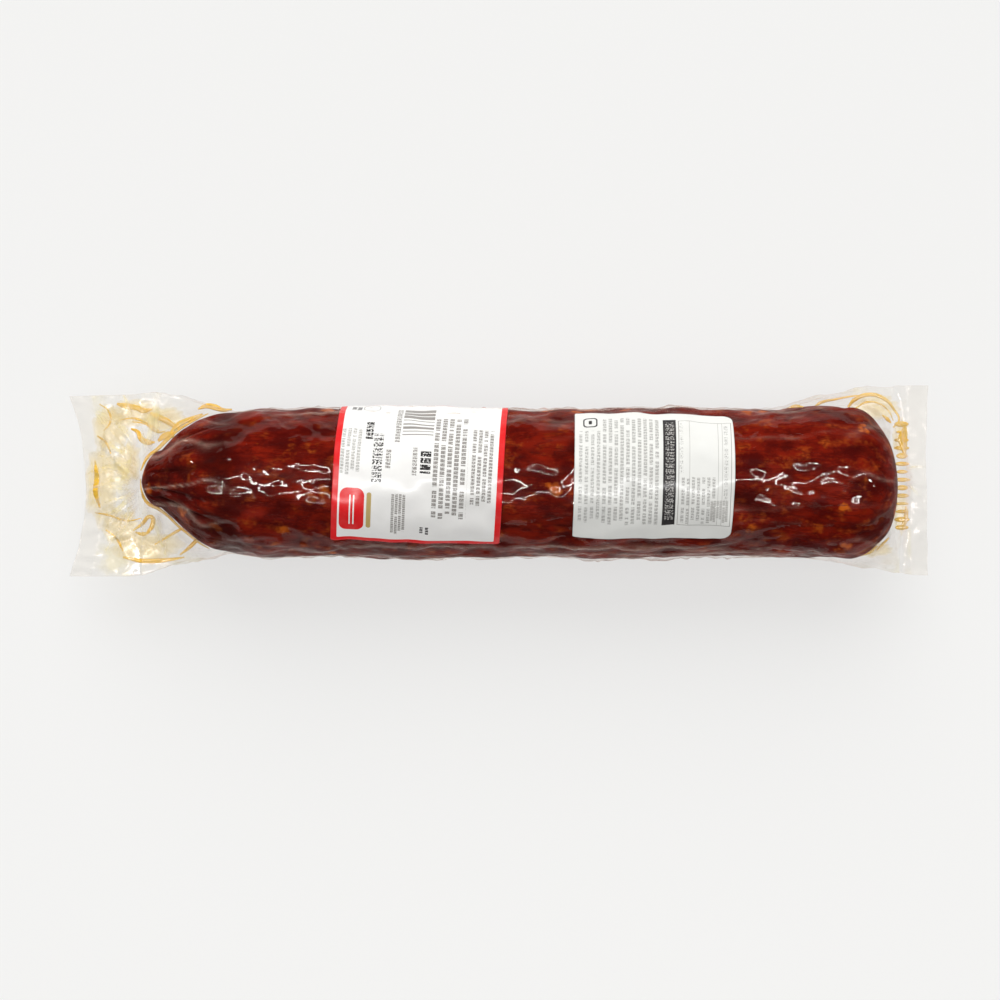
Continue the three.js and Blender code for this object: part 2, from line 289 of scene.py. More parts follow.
def skin_relief(x, angle):
    """Lumps, dimples and lengthwise shrink furrows of the dried skin, and the nose's pleats."""
    y = RADIUS * np.cos(angle)
    z = RADIUS * np.sin(angle)
    t, d = x - TIP, HEEL - x
    lumps = LUMP_HEIGHT * grain(x * 0.6, y, z, LUMP_SIZE, 1)
    lumps = lumps + FINE_LUMP_HEIGHT * grain(x * 0.8, y, z, FINE_LUMP_SIZE, 2)
    furrows = -FURROW_DEPTH * np.exp(-(grain(x * 0.2, y, z, FURROW_SPACING, 3) / 0.07) ** 2)
    wobble = grain(x, y, z, PLEAT_WANDER, 4)
    pleat = 1 - np.abs(np.sin(PLEATS * angle + 2.2 * wobble))
    pleats = -PLEAT_DEPTH * pleat ** 3 * smooth((t - 1) / 9) * smooth((46 - t) / 26)
    pucker = 1 - np.abs(np.sin(PUCKERS * angle + 3 * wobble))
    puckers = -PUCKER_DEPTH * pucker ** 4 * smooth((30 - d) / 20) * smooth(d / 6)
    calm = smooth(t / 8) * smooth(d / 5)
    waist = NOSE_WAIST * np.exp(-((t - 38) / 8) ** 2)
    return (lumps + furrows) * calm + pleats + puckers - waist


def fold(x, angle, start, end, at, wander, phase, height, width):
    """A sharp ridge of slack film that runs along the pouch near one angle."""
    path = at + wander * np.sin((x - start) / 11 + phase) + 0.4 * wander * np.sin((x - start) / 4.3)
    across = np.abs(angle_gap(angle, path)) * RADIUS
    window = smooth((x - start) / 12) * smooth((end - x) / 12)
    return height * window * np.exp(-across / width)


def film_folds(x, angle):
    """Folds where spare film has gathered: along both sides and underneath, and a few on top."""
    total = np.zeros(np.broadcast(x, angle).shape)
    for low, high, count, strength in FOLD_GROUPS:
        for _ in range(count):
            start = random.uniform(TIP + 8, HEEL - 60)
            end = min(start + random.uniform(35, 130), HEEL - 4)
            at = math.radians(random.uniform(low, high))
            total = total + fold(
                x, angle, start, end, at, random.uniform(0.015, 0.05), random.uniform(0, 6),
                strength * random.uniform(0.5, 1.1), random.uniform(0.4, 0.8),
            )
    return total


def film_gathers(x, angle):
    """Thin gathers of film that run back over the sausage from the nose and the heel."""
    wander = grain(x * 0.8, RADIUS * np.cos(angle), RADIUS * np.sin(angle), 15, 14)
    t, d = x - TIP, HEEL - x
    at_nose = (1 - np.abs(np.sin(NOSE_GATHERS * angle + 1.6 * wander))) ** 9
    at_heel = (1 - np.abs(np.sin(HEEL_GATHERS * angle + 1.8 * wander))) ** 10
    near_nose = smooth((t + 3) / 5) * smooth((50 - t) / 34)
    near_heel = smooth((d + 3) / 5) * smooth((30 - d) / 20)
    return at_nose * near_nose + 0.6 * at_heel * near_heel


def film_crumple(x, angle):
    """Flat facets with sharp creases between them, as stiff film has over a lumpy skin."""
    y = RADIUS * np.cos(angle)
    z = RADIUS * np.sin(angle)
    facets = FACET_HEIGHT * np.abs(grain(x * 0.7, y, z, FACET_SIZE, 9))
    facets = facets + SMALL_FACET_HEIGHT * np.abs(grain(x, y, z, SMALL_FACET_SIZE, 10))
    return facets - facets.mean()


def fan_creases(x, y):
    """Creases of the flat flaps: they fan out from the nose, and a few cross the heel flap."""
    total = np.zeros(np.broadcast(x, y).shape)
    for origin_x, facing, half_fan, count, near, far in CREASE_FANS:
        for k in range(count):
            heading = math.radians(facing + mix(-half_fan, half_fan, (k + random.random()) / count))
            start_y = random.uniform(-9, 9)
            bend = random.uniform(-0.012, 0.012)
            reach = random.uniform(0.55, 1.0) * far
            dx = x - origin_x
            dy = y - AXIS_Y - start_y
            along = dx * math.cos(heading) + dy * math.sin(heading)
            across = -dx * math.sin(heading) + dy * math.cos(heading) + bend * along ** 2
            window = smooth((along - near) / 8) * smooth((reach - along) / 10)
            height = random.uniform(0.5, 1.5)
            width = random.uniform(0.3, 0.75)
            total = total + height * window * np.exp(-np.abs(across) / width)
    return total


STATIONS = np.linspace(POUCH_LOW.x, POUCH_HIGH.x, FILM_ROWS)[:, None]
ANGLES = (np.arange(FILM_SIDES) * 2 * np.pi / FILM_SIDES)[None, :]
SKIN = skin_relief(STATIONS, ANGLES)
FOLDS = film_folds(STATIONS, ANGLES)
CRUMPLE = film_crumple(STATIONS, ANGLES)
CLOSE_FILM = blurred(SKIN, FILM_EVENING) + CRUMPLE_SHARE * CRUMPLE
GATHERS = film_gathers(STATIONS, ANGLES)
FILM = np.maximum(CLOSE_FILM, SKIN - STAND_OFF + SKIN_CLEARANCE) + FOLDS + GATHER_HEIGHT * GATHERS
STIFF_FILM = np.maximum(blurred(FILM, PAPER_STIFFNESS), FILM + PAPER_PEAK_CLEARANCE)
PAPER = blurred(STIFF_FILM, PAPER_EVENING)


def sample(field, x, angle):
    """Value of a field over the film's grid, between its points."""
    rows, columns = field.shape
    r = np.clip((x - POUCH_LOW.x) / (POUCH_HIGH.x - POUCH_LOW.x), 0, 0.999999) * (rows - 1)
    c = (angle / (2 * np.pi)) % 1 * columns
    r0, c0 = np.floor(r).astype(int), np.floor(c).astype(int)
    fr, fc = r - r0, c - c0
    c0 = c0 % columns
    c1 = (c0 + 1) % columns
    upper = mix(field[r0, c0], field[r0, c1], fc)
    lower = mix(field[r0 + 1, c0], field[r0 + 1, c1], fc)
    return mix(upper, lower, fr)


# ---------------- the flaps' height


def flap_wave(x, y):
    """Rise and fall of the flaps' two layers together."""
    waves = WAVE_HEIGHT * grain(x, y, 0 * x, WAVE_SIZE, 5)
    waves = waves + BUCKLE_HEIGHT * np.abs(grain(x, y * 1.4, 0 * x, BUCKLE_SIZE, 6))
    return (waves + CREASE_SHARE * fan_creases(x, y)) * outside_sausage(x, y)


def across_share(x, y):
    return np.clip(1 - ((y - middle_y(x)) / half_width(x)) ** 2, 0, 1)


def drawn_in(x, share):
    nose, heel = flap_shares(x)
    return share * (nose * NOSE_EDGE_HOLLOW - heel * HEEL_EDGE_HOLLOW)


def flap_height(x, y):
    """Height of the flaps' middle, between the two layers, at a place in plan."""
    station = x
    for _ in range(3):
        station = x - drawn_in(station, across_share(station, y))
    nose, heel = flap_shares(station)
    droop = nose ** 2 * NOSE_DROOP + heel ** 2 * HEEL_DROOP
    arch = FLAP_ARCH * (nose + heel) * (1 - across_share(station, y))
    return AXIS_Z - droop - arch + flap_wave(x, y)


# ---------------- making meshes


def make_object(name, points, faces, material):
    mesh = bpy.data.meshes.new(name)
    mesh.from_pydata((np.asarray(points) * MM).tolist(), [], faces)
    mesh.validate()
    mesh.polygons.foreach_set("use_smooth", [True] * len(mesh.polygons))
    mesh.materials.append(material)
    piece = bpy.data.objects.new(name, mesh)
    bpy.context.scene.collection.objects.link(piece)
    return piece


def tube_faces(rows, sides):
    faces = []
    for start in range(0, (rows - 1) * sides, sides):
        for j in range(sides):
            after = (j + 1) % sides
            faces.append((start + j, start + after, start + sides + after, start + sides + j))
    return faces


def sheet_faces(rows):
    """Faces of a square grid of points."""
    faces = []
    for i in range(0, (rows - 1) * rows, rows):
        for j in range(i, i + rows - 1):
            faces.append((j, j + 1, j + rows + 1, j + rows))
    return faces


def pole_faces(first, sides, pole, flip):
    faces = [(pole, first + (j + 1) % sides, first + j) for j in range(sides)]
    return [face[::-1] for face in faces] if flip else faces


def flat_end_faces(first, sides, flip):
    """Closes a flattened ring by joining each point of its upper layer to the one below it."""
    half = sides // 2
    faces = [(first, first + sides - 1, first + 1)]
    faces += [
        (first + j, first + sides - j, first + sides - j - 1, first + j + 1) for j in range(1, half - 1)
    ]
    faces += [(first + half - 1, first + half + 1, first + half)]
    return [face[::-1] for face in faces] if flip else faces


def store(piece, name, values):
    """Keeps one number for each point, for the piece's material."""
    layer = piece.data.attributes.new(name, "FLOAT", "POINT")
    layer.data.foreach_set("value", np.asarray(values, np.float32).ravel())


def evaluated_copy(source, name):
    """A plain mesh object of what an object's modifiers make, which then goes."""
    graph = bpy.context.evaluated_depsgraph_get()
    mesh = bpy.data.meshes.new_from_object(source.evaluated_get(graph))
    mesh.name = name
    made = bpy.data.objects.new(name, mesh)
    bpy.context.scene.collection.objects.link(made)
    bpy.data.objects.remove(source)
    return made


# ---------------- building materials


class Graph:
    """Adds nodes to a material or a node group; an input is given a socket or a plain value."""

    def __init__(self, tree):
        self.tree = tree

    def node(self, kind, inputs=None, **settings):
        made = self.tree.nodes.new(kind)
        for name, value in settings.items():
            setattr(made, name, value)
        for name, value in (inputs or {}).items():
            self.feed(made.inputs[name], value)
        return made

    def feed(self, socket, value):
        if isinstance(value, bpy.types.NodeSocket):
            self.tree.links.new(value, socket)
        else:
            socket.default_value = value

    def math(self, operation, a, b=0.0, clamp=False):
        return self.node("ShaderNodeMath", {0: a, 1: b}, operation=operation, use_clamp=clamp).outputs[0]

    def times(self, first, *others, clamp=False):
        for other in others:
            first = self.math("MULTIPLY", first, other, clamp)
        return first

    def plus(self, first, *others, clamp=False):
        for other in others:
            first = self.math("ADD", first, other, clamp)
        return first

    def minus(self, a, b):
        return self.math("SUBTRACT", a, b)

    def band(self, value, low, high):
        """0 below low, 1 above high, smooth between."""
        inputs = {"Value": value, "From Min": low, "From Max": high}
        return self.node("ShaderNodeMapRange", inputs, interpolation_type="SMOOTHSTEP").outputs["Result"]

    def blend(self, share, a, b):
        made = self.tree.nodes.new("ShaderNodeMix")
        made.data_type = "RGBA"
        self.feed(made.inputs[0], share)
        self.feed(made.inputs[6], a)
        self.feed(made.inputs[7], b)
        return made.outputs[2]

    def place(self, stretch=(1, 1, 1)):
        """Object coordinates in millimetres, scaled by a stretch along each axis."""
        coordinates = self.node("ShaderNodeTexCoord").outputs["Object"]
        scale = tuple(s / MM for s in stretch)
        return self.node("ShaderNodeMapping", {"Vector": coordinates, "Scale": scale}).outputs["Vector"]

    def noise(self, place, size, detail=3.0, roughness=0.5):
        inputs = {"Vector": place, "Scale": 1 / size, "Detail": detail, "Roughness": roughness}
        return self.node("ShaderNodeTexNoise", inputs).outputs["Fac"]

    def attribute(self, name):
        return self.node("ShaderNodeAttribute", attribute_name=name).outputs["Fac"]

    def group(self, tree, inputs):
        return self.node("ShaderNodeGroup", inputs, node_tree=tree).outputs[0]

    def bump(self, height, strength, distance):
        """Normals of a relief, with its full height in millimetres."""
        inputs = {"Height": height, "Strength": strength, "Distance": distance * MM}
        return self.node("ShaderNodeBump", inputs).outputs[0]

    def shader(self, kind, inputs):
        return self.node("ShaderNodeBsdf" + kind, inputs).outputs[0]

    def mix_shaders(self, share, a, b):
        return self.node("ShaderNodeMixShader", {0: share, 1: a, 2: b}).outputs[0]


def new_material(name):
    material = bpy.data.materials.new(name)
    material.use_nodes = True
    material.node_tree.nodes.clear()
    graph = Graph(material.node_tree)
    output = graph.node("ShaderNodeOutputMaterial")
    return material, graph, output.inputs["Surface"]


def new_group(name, inputs, outputs, kind="ShaderNodeTree"):
    """A node group with those named inputs and outputs, given as name: socket type."""
    group = bpy.data.node_groups.new(name, kind)
    for in_out, sockets in (("INPUT", inputs), ("OUTPUT", outputs)):
        for socket_name, socket_type in sockets.items():
            group.interface.new_socket(socket_name, in_out=in_out, socket_type=socket_type)
    graph = Graph(group)
    source = graph.node("NodeGroupInput").outputs
    target = graph.node("NodeGroupOutput").inputs
    return group, graph, source, target


def inside_range(graph, value, low, high):
    above = graph.math("GREATER_THAN", value, low)
    return graph.times(above, graph.math("LESS_THAN", value, high))


NUMBER = "NodeSocketFloat"
VECTOR = "NodeSocketVector"
GEOMETRY = "NodeSocketGeometry"
PATCH_SOCKETS = ("Left", "Right", "Bottom", "Top", "Corner")
TEXT_SOCKETS = ("Left", "Right", "Bottom", "Top", "Pitch", "Weight", "Glyph", "Fill", "Gaps")
EDGE_TOLERANCE = 0.0001
MOST_RAGGED = 6.0        # furthest that a line ends short, in glyphs
LETTER_PITCH = 0.6       # of a line's pitch
LETTER_SHARE = 0.8       # of a letter's pitch that is inked
LINE_SHIFTS = (7.31, 0.37, 3.17)   # how glyphs, letters and words move on from one line to the next
WORD_STRETCH = 0.17


def printed_patch_group():
    """A filled, round-cornered patch of ink. Places and sizes are millimetres on the paper."""
    inputs = {"Place": VECTOR, **{name: NUMBER for name in PATCH_SOCKETS}}
    group, graph, source, target = new_group("printed patch", inputs, {"Ink": NUMBER})
    xyz = graph.node("ShaderNodeSeparateXYZ", {0: source["Place"]}).outputs

    def beyond(value, low, high):
        centre = graph.times(graph.plus(low, high), 0.5)
        half = graph.minus(graph.times(graph.minus(high, low), 0.5), source["Corner"])
        distance = graph.math("ABSOLUTE", graph.minus(value, centre))
        return graph.math("MAXIMUM", graph.minus(distance, half), 0.0)

    across = beyond(xyz["X"], source["Left"], source["Right"])
    along = beyond(xyz["Y"], source["Bottom"], source["Top"])
    square = graph.plus(graph.times(across, across), graph.times(along, along))
    reach = graph.minus(graph.math("SQRT", square), source["Corner"])
    graph.feed(target["Ink"], graph.math("LESS_THAN", reach, EDGE_TOLERANCE))
    return group


def greeked_text_group():
    """Columns of broken dashes that stand for small print and spell nothing."""
    inputs = {"Place": VECTOR, **{name: NUMBER for name in TEXT_SOCKETS}}
    group, graph, source, target = new_group("greeked text", inputs, {"Ink": NUMBER})
    xyz = graph.node("ShaderNodeSeparateXYZ", {0: source["Place"]}).outputs
    from_left = graph.minus(xyz["X"], source["Left"])
    line = graph.math("DIVIDE", from_left, source["Pitch"])
    number = graph.math("FLOOR", line)
    glyph_shift, letter_shift, word_shift = (graph.times(number, shift) for shift in LINE_SHIFTS)
    stroke = graph.math("LESS_THAN", graph.math("FRACT", line), source["Weight"])
    ragged = graph.node("ShaderNodeTexWhiteNoise", {"W": number}, noise_dimensions="1D").outputs["Value"]
    cut = graph.times(graph.math("POWER", ragged, 3.0), graph.times(source["Glyph"], MOST_RAGGED))
    across_block = inside_range(graph, xyz["X"], source["Left"], source["Right"])
    along_block = inside_range(graph, xyz["Y"], graph.plus(source["Bottom"], cut), source["Top"])
    along = graph.math("DIVIDE", xyz["Y"], source["Glyph"])
    across = graph.plus(glyph_shift, graph.math("DIVIDE", from_left, source["Glyph"]))
    spot = graph.node("ShaderNodeCombineXYZ", {0: across, 1: along}).outputs[0]
    letter = graph.math("DIVIDE", xyz["Y"], graph.times(source["Pitch"], LETTER_PITCH))
    letter = graph.math("FRACT", graph.plus(letter, letter_shift))
    stroke = graph.times(stroke, graph.math("LESS_THAN", letter, LETTER_SHARE))
    word_spot = {0: word_shift, 1: graph.times(along, WORD_STRETCH)}
    words = graph.noise(graph.node("ShaderNodeCombineXYZ", word_spot).outputs[0], 1.0, 1.0)
    stroke = graph.times(stroke, graph.math("GREATER_THAN", words, source["Gaps"]))
    limit = graph.minus(0.75, graph.times(source["Fill"], 0.5))
    dashes = graph.math("GREATER_THAN", graph.noise(spot, 1.0, 2.0, 0.7), limit)
    graph.feed(target["Ink"], graph.times(across_block, along_block, stroke, dashes))
    return group


def oil_tint_group():
    """Patchy share of thin oil film between two layers, used by the film and by the oil itself."""
    inputs = {"Size": NUMBER, "Amount": NUMBER}
    group, graph, source, target = new_group("oil tint", inputs, {"Share": NUMBER})
    scale = graph.math("DIVIDE", 1.0, source["Size"])
    inputs = {"Vector": graph.place(), "Scale": scale, "Detail": 4.0, "Roughness": 0.6}
    patches = graph.node("ShaderNodeTexNoise", inputs).outputs["Fac"]
    graph.feed(target["Share"], graph.times(graph.band(patches, 0.42, 0.68), source["Amount"]))
    return group


PRINTED_PATCH = printed_patch_group()
GREEKED_TEXT = greeked_text_group()
OIL_TINT = oil_tint_group()

# Sizes of the skin's patterns
BLOTCH_SIZE = 9.0
BROWN_SIZE = 6.5
FAT_SIZE = 8.5
FAT_WARP_SIZE, FAT_WARP_REACH = 3.5, 7.0
FAT_SHOWING_SIZE = 3.0
WRINKLE_LINE_SIZE = 5.0
# Thin wrinkle lines that the skin's bump sinks as grooves and painted shade darkens
SHEEN_SIZE = 2.2
WRINKLE_SIZE = 1.6

# Sizes of the film's patterns, and how milky it gets
FILM_OIL_PATCHES = {"Size": 13.0, "Amount": 1.0}
HAZE_STREAK_SIZE = 3.2
RIPPLE_SIZE = 6.0
STAIN_SIZE = 8.0
FOLD_HAZE, STREAKED_FOLD_HAZE = 0.24, 0.36
BODY_HAZE = 0.003
FLAP_HAZE = 0.075
OIL_HAZE = 0.17
CREASE_HAZE = 0.30
WELD_HAZE = 0.07
STRAIGHT_MIRROR, GRAZING_MIRROR = 0.024, 0.6

# The trapped oil
OIL_PATCHES = {"Size": 5.0, "Amount": 0.6}
THIN_OIL_COVER, DEEP_OIL_COVER = 0.16, 0.66

# Colours, linear
DARK_MEAT = (0.070, 0.0016, 0.0006, 1)
# Painted shade laid into the skin's deep crevices
CREVICE_SHADE = (0.028, 0.0012, 0.0006, 1)
RED_MEAT = (0.195, 0.009, 0.0018, 1)
BROWN_MEAT = (0.31, 0.046, 0.006, 1)
FAT = (0.38, 0.07, 0.008, 1)
BRIGHT_FAT = (0.62, 0.13, 0.010, 1)
PALE_HAZE = (0.98, 0.93, 0.86, 1)
WARM_HAZE = (0.95, 0.70, 0.56, 1)
OILY_HAZE = (0.97, 0.84, 0.42, 1)
AMBER = (1.0, 0.60, 0.05, 1)
PALE_OIL = (0.97, 0.78, 0.25, 1)
PAPER_WHITE = (0.88, 0.875, 0.86, 1)
PLAIN_PAPER_WHITE = (0.79, 0.795, 0.77, 1)
PAPER_GREY = (0.55, 0.51, 0.46, 1)
LABEL_RED = (0.76, 0.014, 0.018, 1)
INK_BLACK = (0.028, 0.026, 0.028, 1)
INK_GREY = (0.30, 0.285, 0.27, 1)
INK_PALE_GREY = (0.46, 0.45, 0.43, 1)
INK_FAINT = (0.42, 0.415, 0.40, 1)
GOLD = (0.52, 0.38, 0.14, 1)


def cured_meat():
    """Dried, paprika-red skin with fat showing through it, and painted shade in its crevices and wrinkle
    grooves.
    """
    material, graph, surface = new_material("cured_meat_skin")
    along = graph.place((0.7, 1, 1))
    even = graph.place()
    blotches = graph.band(graph.noise(along, BLOTCH_SIZE, 4, 0.6), 0.36, 0.66)
    colour = graph.blend(blotches, DARK_MEAT, RED_MEAT)
    brown = graph.band(graph.noise(along, BROWN_SIZE, 5, 0.65), 0.53, 0.76)
    colour = graph.blend(brown, colour, BROWN_MEAT)
    inputs = {"Vector": even, "Scale": 1 / FAT_WARP_SIZE, "Detail": 3.0}
    warp = graph.node("ShaderNodeTexNoise", inputs).outputs["Color"]
    pushed = graph.node("ShaderNodeVectorMath", {0: warp, 3: FAT_WARP_REACH}, operation="SCALE")
    broken = graph.node("ShaderNodeVectorMath", {0: even, 1: pushed.outputs[0]}).outputs[0]
    inputs = {"Vector": broken, "Scale": 1 / FAT_SIZE, "Randomness": 1.0}
    cells = graph.node("ShaderNodeTexVoronoi", inputs).outputs
    grains = graph.minus(1.0, graph.band(cells["Distance"], 0.12, 0.46))
    chance = graph.node("ShaderNodeSeparateColor", {0: cells["Color"]}).outputs
    showing = graph.band(graph.noise(even, FAT_SHOWING_SIZE, 3), 0.35, 0.62)
    fat = graph.times(grains, graph.band(chance["Red"], 0.62, 0.9), showing, 0.75)
    colour = graph.blend(fat, colour, FAT)
    bright = graph.times(grains, graph.band(chance["Green"], 0.87, 0.95), 0.8)
    colour = graph.blend(bright, colour, BRIGHT_FAT)
    # Thin wrinkle lines: the bump below sinks them as grooves, and painted shade darkens them.
    wrinkle_lines = graph.minus(graph.noise(graph.place((0.25, 1, 1)), WRINKLE_LINE_SIZE, 4, 0.6), 0.5)
    groove_shade = graph.minus(1.0, graph.band(graph.math("ABSOLUTE", wrinkle_lines), 0.0, 0.045))
    colour = graph.blend(graph.times(groove_shade, 0.55), colour, DARK_MEAT)
    # Painted shade darkens the skin where its relief is deep.
    colour = graph.blend(graph.times(graph.attribute("crevice_shade"), 0.7), colour, CREVICE_SHADE)
    rough = graph.plus(0.34, graph.times(graph.noise(even, SHEEN_SIZE, 3), 0.28))
    height = graph.plus(graph.noise(along, WRINKLE_SIZE, 4, 0.6), graph.times(groove_shade, -0.7))
    normal = graph.bump(height, 0.35, 0.4)
    inputs = {"Base Color": colour, "Roughness": rough, "Specular IOR Level": 0.03, "Normal": normal}
    graph.feed(surface, graph.shader("Principled", inputs))
    return material


def clear_film():
    """Clear film: glossy, hazy where it stands off the meat, milky and oily in the flaps."""
    material, graph, surface = new_material("clear_vacuum_film")
    lift, free, crease, weld = (graph.attribute(name) for name in ("lift", "free", "crease", "weld"))
    place = graph.place()
    patches = graph.group(OIL_TINT, FILM_OIL_PATCHES)
    oily = graph.times(patches, graph.times(free, graph.minus(1.0, weld)))
    streaks = graph.band(graph.noise(graph.place((0.3, 1, 1)), HAZE_STREAK_SIZE, 4, 0.6), 0.52, 0.74)
    haze = graph.times(lift, graph.plus(FOLD_HAZE, graph.times(streaks, STREAKED_FOLD_HAZE)))
    shares = {streaks: BODY_HAZE, free: FLAP_HAZE, oily: OIL_HAZE, crease: CREASE_HAZE, weld: WELD_HAZE}
    for mask, share in shares.items():
        haze = graph.plus(haze, graph.times(mask, share), clamp=True)
    hatch = graph.node("ShaderNodeTexWave", {"Vector": place, "Scale": 0.28}, bands_direction="X")
    ribs = graph.times(hatch.outputs["Fac"], graph.times(weld, 0.5))
    normal = graph.bump(graph.plus(graph.noise(place, RIPPLE_SIZE, 1.5, 0.4), ribs), 0.5, 0.16)
    stained = graph.band(graph.noise(place, STAIN_SIZE, 3), 0.36, 0.54)
    yellow = graph.math("MAXIMUM", oily, graph.times(crease, free, stained))
    colour = graph.blend(yellow, graph.blend(free, WARM_HAZE, PALE_HAZE), OILY_HAZE)
    clear = graph.shader("Transparent", {"Color": (0.985, 0.982, 0.972, 1)})
    milky = graph.shader("Principled", {"Base Color": colour, "Roughness": 0.35, "Normal": normal})
    gloss_rough = graph.plus(0.08, graph.times(free, 0.12))
    inputs = {"Color": (1, 0.87, 0.82, 1), "Roughness": gloss_rough, "Normal": normal}
    gloss = graph.shader("Glossy", inputs)
    facing = graph.node("ShaderNodeLayerWeight", {"Blend": 0.5, "Normal": normal}).outputs["Facing"]
    grazing = graph.times(graph.math("POWER", facing, 5.0), GRAZING_MIRROR)
    body = graph.mix_shaders(haze, clear, milky)
    graph.feed(surface, graph.mix_shaders(graph.plus(STRAIGHT_MIRROR, grazing), body, gloss))
    return material


def trapped_oil():
    """Paprika oil squeezed between the film's layers: amber where it is deep, yellow where thin."""
    material, graph, surface = new_material("trapped_paprika_oil")
    depth = graph.attribute("depth")
    patches = graph.group(OIL_TINT, OIL_PATCHES)
    deep = graph.times(depth, graph.plus(0.7, patches), clamp=True)
    colour = graph.blend(deep, PALE_OIL, AMBER)
    thin = graph.times(graph.band(depth, 0.02, 0.10), THIN_OIL_COVER)
    cover = graph.plus(thin, graph.times(deep, DEEP_OIL_COVER), clamp=True)
    clear = graph.shader("Transparent", {"Color": (1.0, 0.98, 0.94, 1)})
    body = graph.shader("Principled", {"Base Color": colour, "Roughness": 0.18})
    graph.feed(surface, graph.mix_shaders(cover, clear, body))
    return material


# ---------------- the labels' print

# x and y of the paper are measured from its lower left corner, and its lines of text run along y.
# Text blocks: left, right, bottom, top, pitch, weight, glyph, fill, gaps, ink
PRODUCT_TEXT = (
    (2.8, 12.0, 31.0, 54.0, 2.3, 0.66, 0.5, 0.62, 0.36, INK_PALE_GREY),
    (12.9, 16.3, 47.0, 58.0, 3.6, 0.90, 0.8, 0.60, 0.0, INK_BLACK),
    (16.6, 21.0, 27.5, 51.0, 4.6, 0.92, 0.85, 0.50, 0.0, INK_BLACK),
    (22.3, 24.6, 33.5, 43.0, 2.4, 0.90, 0.6, 0.62, 0.0, INK_GREY),
    (25.6, 28.0, 46.0, 70.0, 2.6, 0.85, 0.6, 0.60, 0.3, INK_GREY),
    (33.8, 36.2, 31.5, 44.0, 2.5, 0.80, 0.5, 0.60, 0.0, INK_GREY),
    (37.2, 41.8, 32.0, 42.6, 4.8, 0.94, 0.9, 0.68, 0.0, INK_BLACK),
    (25.6, 31.8, 5.0, 24.0, 1.6, 0.74, 0.45, 0.70, 0.3, INK_GREY),
    (42.8, 57.6, 14.0, 62.0, 2.95, 0.66, 0.55, 0.72, 0.38, INK_GREY),
    (59.2, 68.6, 20.5, 55.0, 2.45, 0.64, 0.5, 0.66, 0.38, INK_GREY),
    (38.2, 43.0, 5.4, 9.4, 2.4, 0.55, 0.6, 0.70, 0.0, INK_BLACK),
    (5.2, 10.0, 67.8, 73.2, 2.4, 0.80, 1.0, 0.90, 0.0, INK_BLACK),
)
DETAILS_TEXT = (
    (1.9, 11.9, 8.0, 49.5, 2.55, 0.55, 0.5, 0.58, 0.39, INK_FAINT),
    (12.1, 37.0, 7.6, 58.0, 2.5, 0.60, 0.5, 0.64, 0.38, INK_FAINT),
    (46.0, 61.2, 8.0, 29.0, 2.2, 0.60, 0.5, 0.64, 0.38, INK_FAINT),
    (64.2, 66.9, 9.0, 55.0, 2.7, 0.60, 0.5, 0.46, 0.38, INK_FAINT),
    (45.0, 48.6, 30.0, 55.0, 3.6, 0.45, 0.5, 0.40, 0.38, INK_FAINT),
    (58.6, 66.4, 9.0, 19.0, 1.3, 0.85, 0.5, 0.95, 0.30, INK_PALE_GREY),
    (39.0, 42.8, 9.0, 56.0, 4.2, 0.90, 0.7, 0.46, 0.3, INK_PALE_GREY),
)
# Patches: left, right, bottom, top, corner, ink
PRODUCT_PATCHES = (
    (10.2, 17.6, 66.6, 76.4, 3.7, INK_PALE_GREY),
    (10.6, 17.2, 67.0, 76.0, 3.3, PAPER_WHITE),
    (3.4, 14.0, 6.0, 25.6, 3.4, LABEL_RED),
    (7.6, 8.2, 9.0, 22.6, 0.2, PAPER_WHITE),
    (9.2, 9.8, 9.0, 22.6, 0.2, PAPER_WHITE),
    (15.0, 17.0, 7.6, 24.0, 0.9, GOLD),
)
DETAILS_PATCHES = (
    (3.6, 9.8, 51.6, 57.6, 1.6, INK_BLACK),
    (4.2, 9.2, 52.2, 57.0, 1.2, PLAIN_PAPER_WHITE),
    (6.0, 7.4, 53.4, 55.8, 0.4, INK_BLACK),
    (38.0, 43.6, 7.4, 57.8, 0.2, INK_BLACK),
    (44.6, 67.4, 7.2, 56.8, 0.1, INK_GREY),
    (44.85, 67.15, 7.45, 56.55, 0.1, PLAIN_PAPER_WHITE),
    (49.3, 49.5, 7.3, 56.7, 0.0, INK_PALE_GREY),
    (61.6, 61.8, 7.3, 56.7, 0.0, INK_PALE_GREY),
    (63.4, 63.6, 7.3, 56.7, 0.0, INK_PALE_GREY),
)
# Bars of the block beside the text: bottom and top edge of each
BARS = (
    (50.6, 51.2), (52.6, 53.1), (54.2, 55.6), (56.6, 57.4), (59.2, 59.8), (61.0, 63.4), (64.0, 66.2),
    (67.0, 70.0),
)
BARS_LEFT = 28.6
BARS_RIGHT = 42.0
FRAME_SIDE = 2.6
FRAME_FOOT = 1.9
FRAME_HEAD = 0.5
FRAME_CORNER = 0.6


def print_over(graph, colour, place, group, names, block):
    """One block of ink laid over a colour: its sizes go to the named inputs, and its ink is last."""
    share = graph.group(group, {"Place": place, **dict(zip(names, block))})
    return graph.blend(share, colour, block[-1])


def paper_place(graph, label):
    """Millimetres on the paper, from its lower left corner."""
    uv = graph.node("ShaderNodeUVMap", uv_map="paper").outputs[0]
    size = (label["width"], label["height"], 1)
    return graph.node("ShaderNodeMapping", {"Vector": uv, "Scale": size}).outputs["Vector"]


def finish_paper(graph, surface, place, colour):
    """Coated paper: a faint mottle, a slight sheen and soft cockling."""
    mottle = graph.band(graph.noise(place, 9, 4, 0.6), 0.35, 0.85)
    colour = graph.blend(mottle, colour, graph.blend(0.10, colour, PAPER_GREY))
    rough = graph.plus(0.16, graph.times(graph.noise(place, 1.1, 3), 0.12))
    normal = graph.bump(graph.noise(place, 6, 3), 0.3, 0.25)
    inputs = {"Base Color": colour, "Roughness": rough, "Specular IOR Level": 0.2, "Normal": normal}
    graph.feed(surface, graph.shader("Principled", inputs))


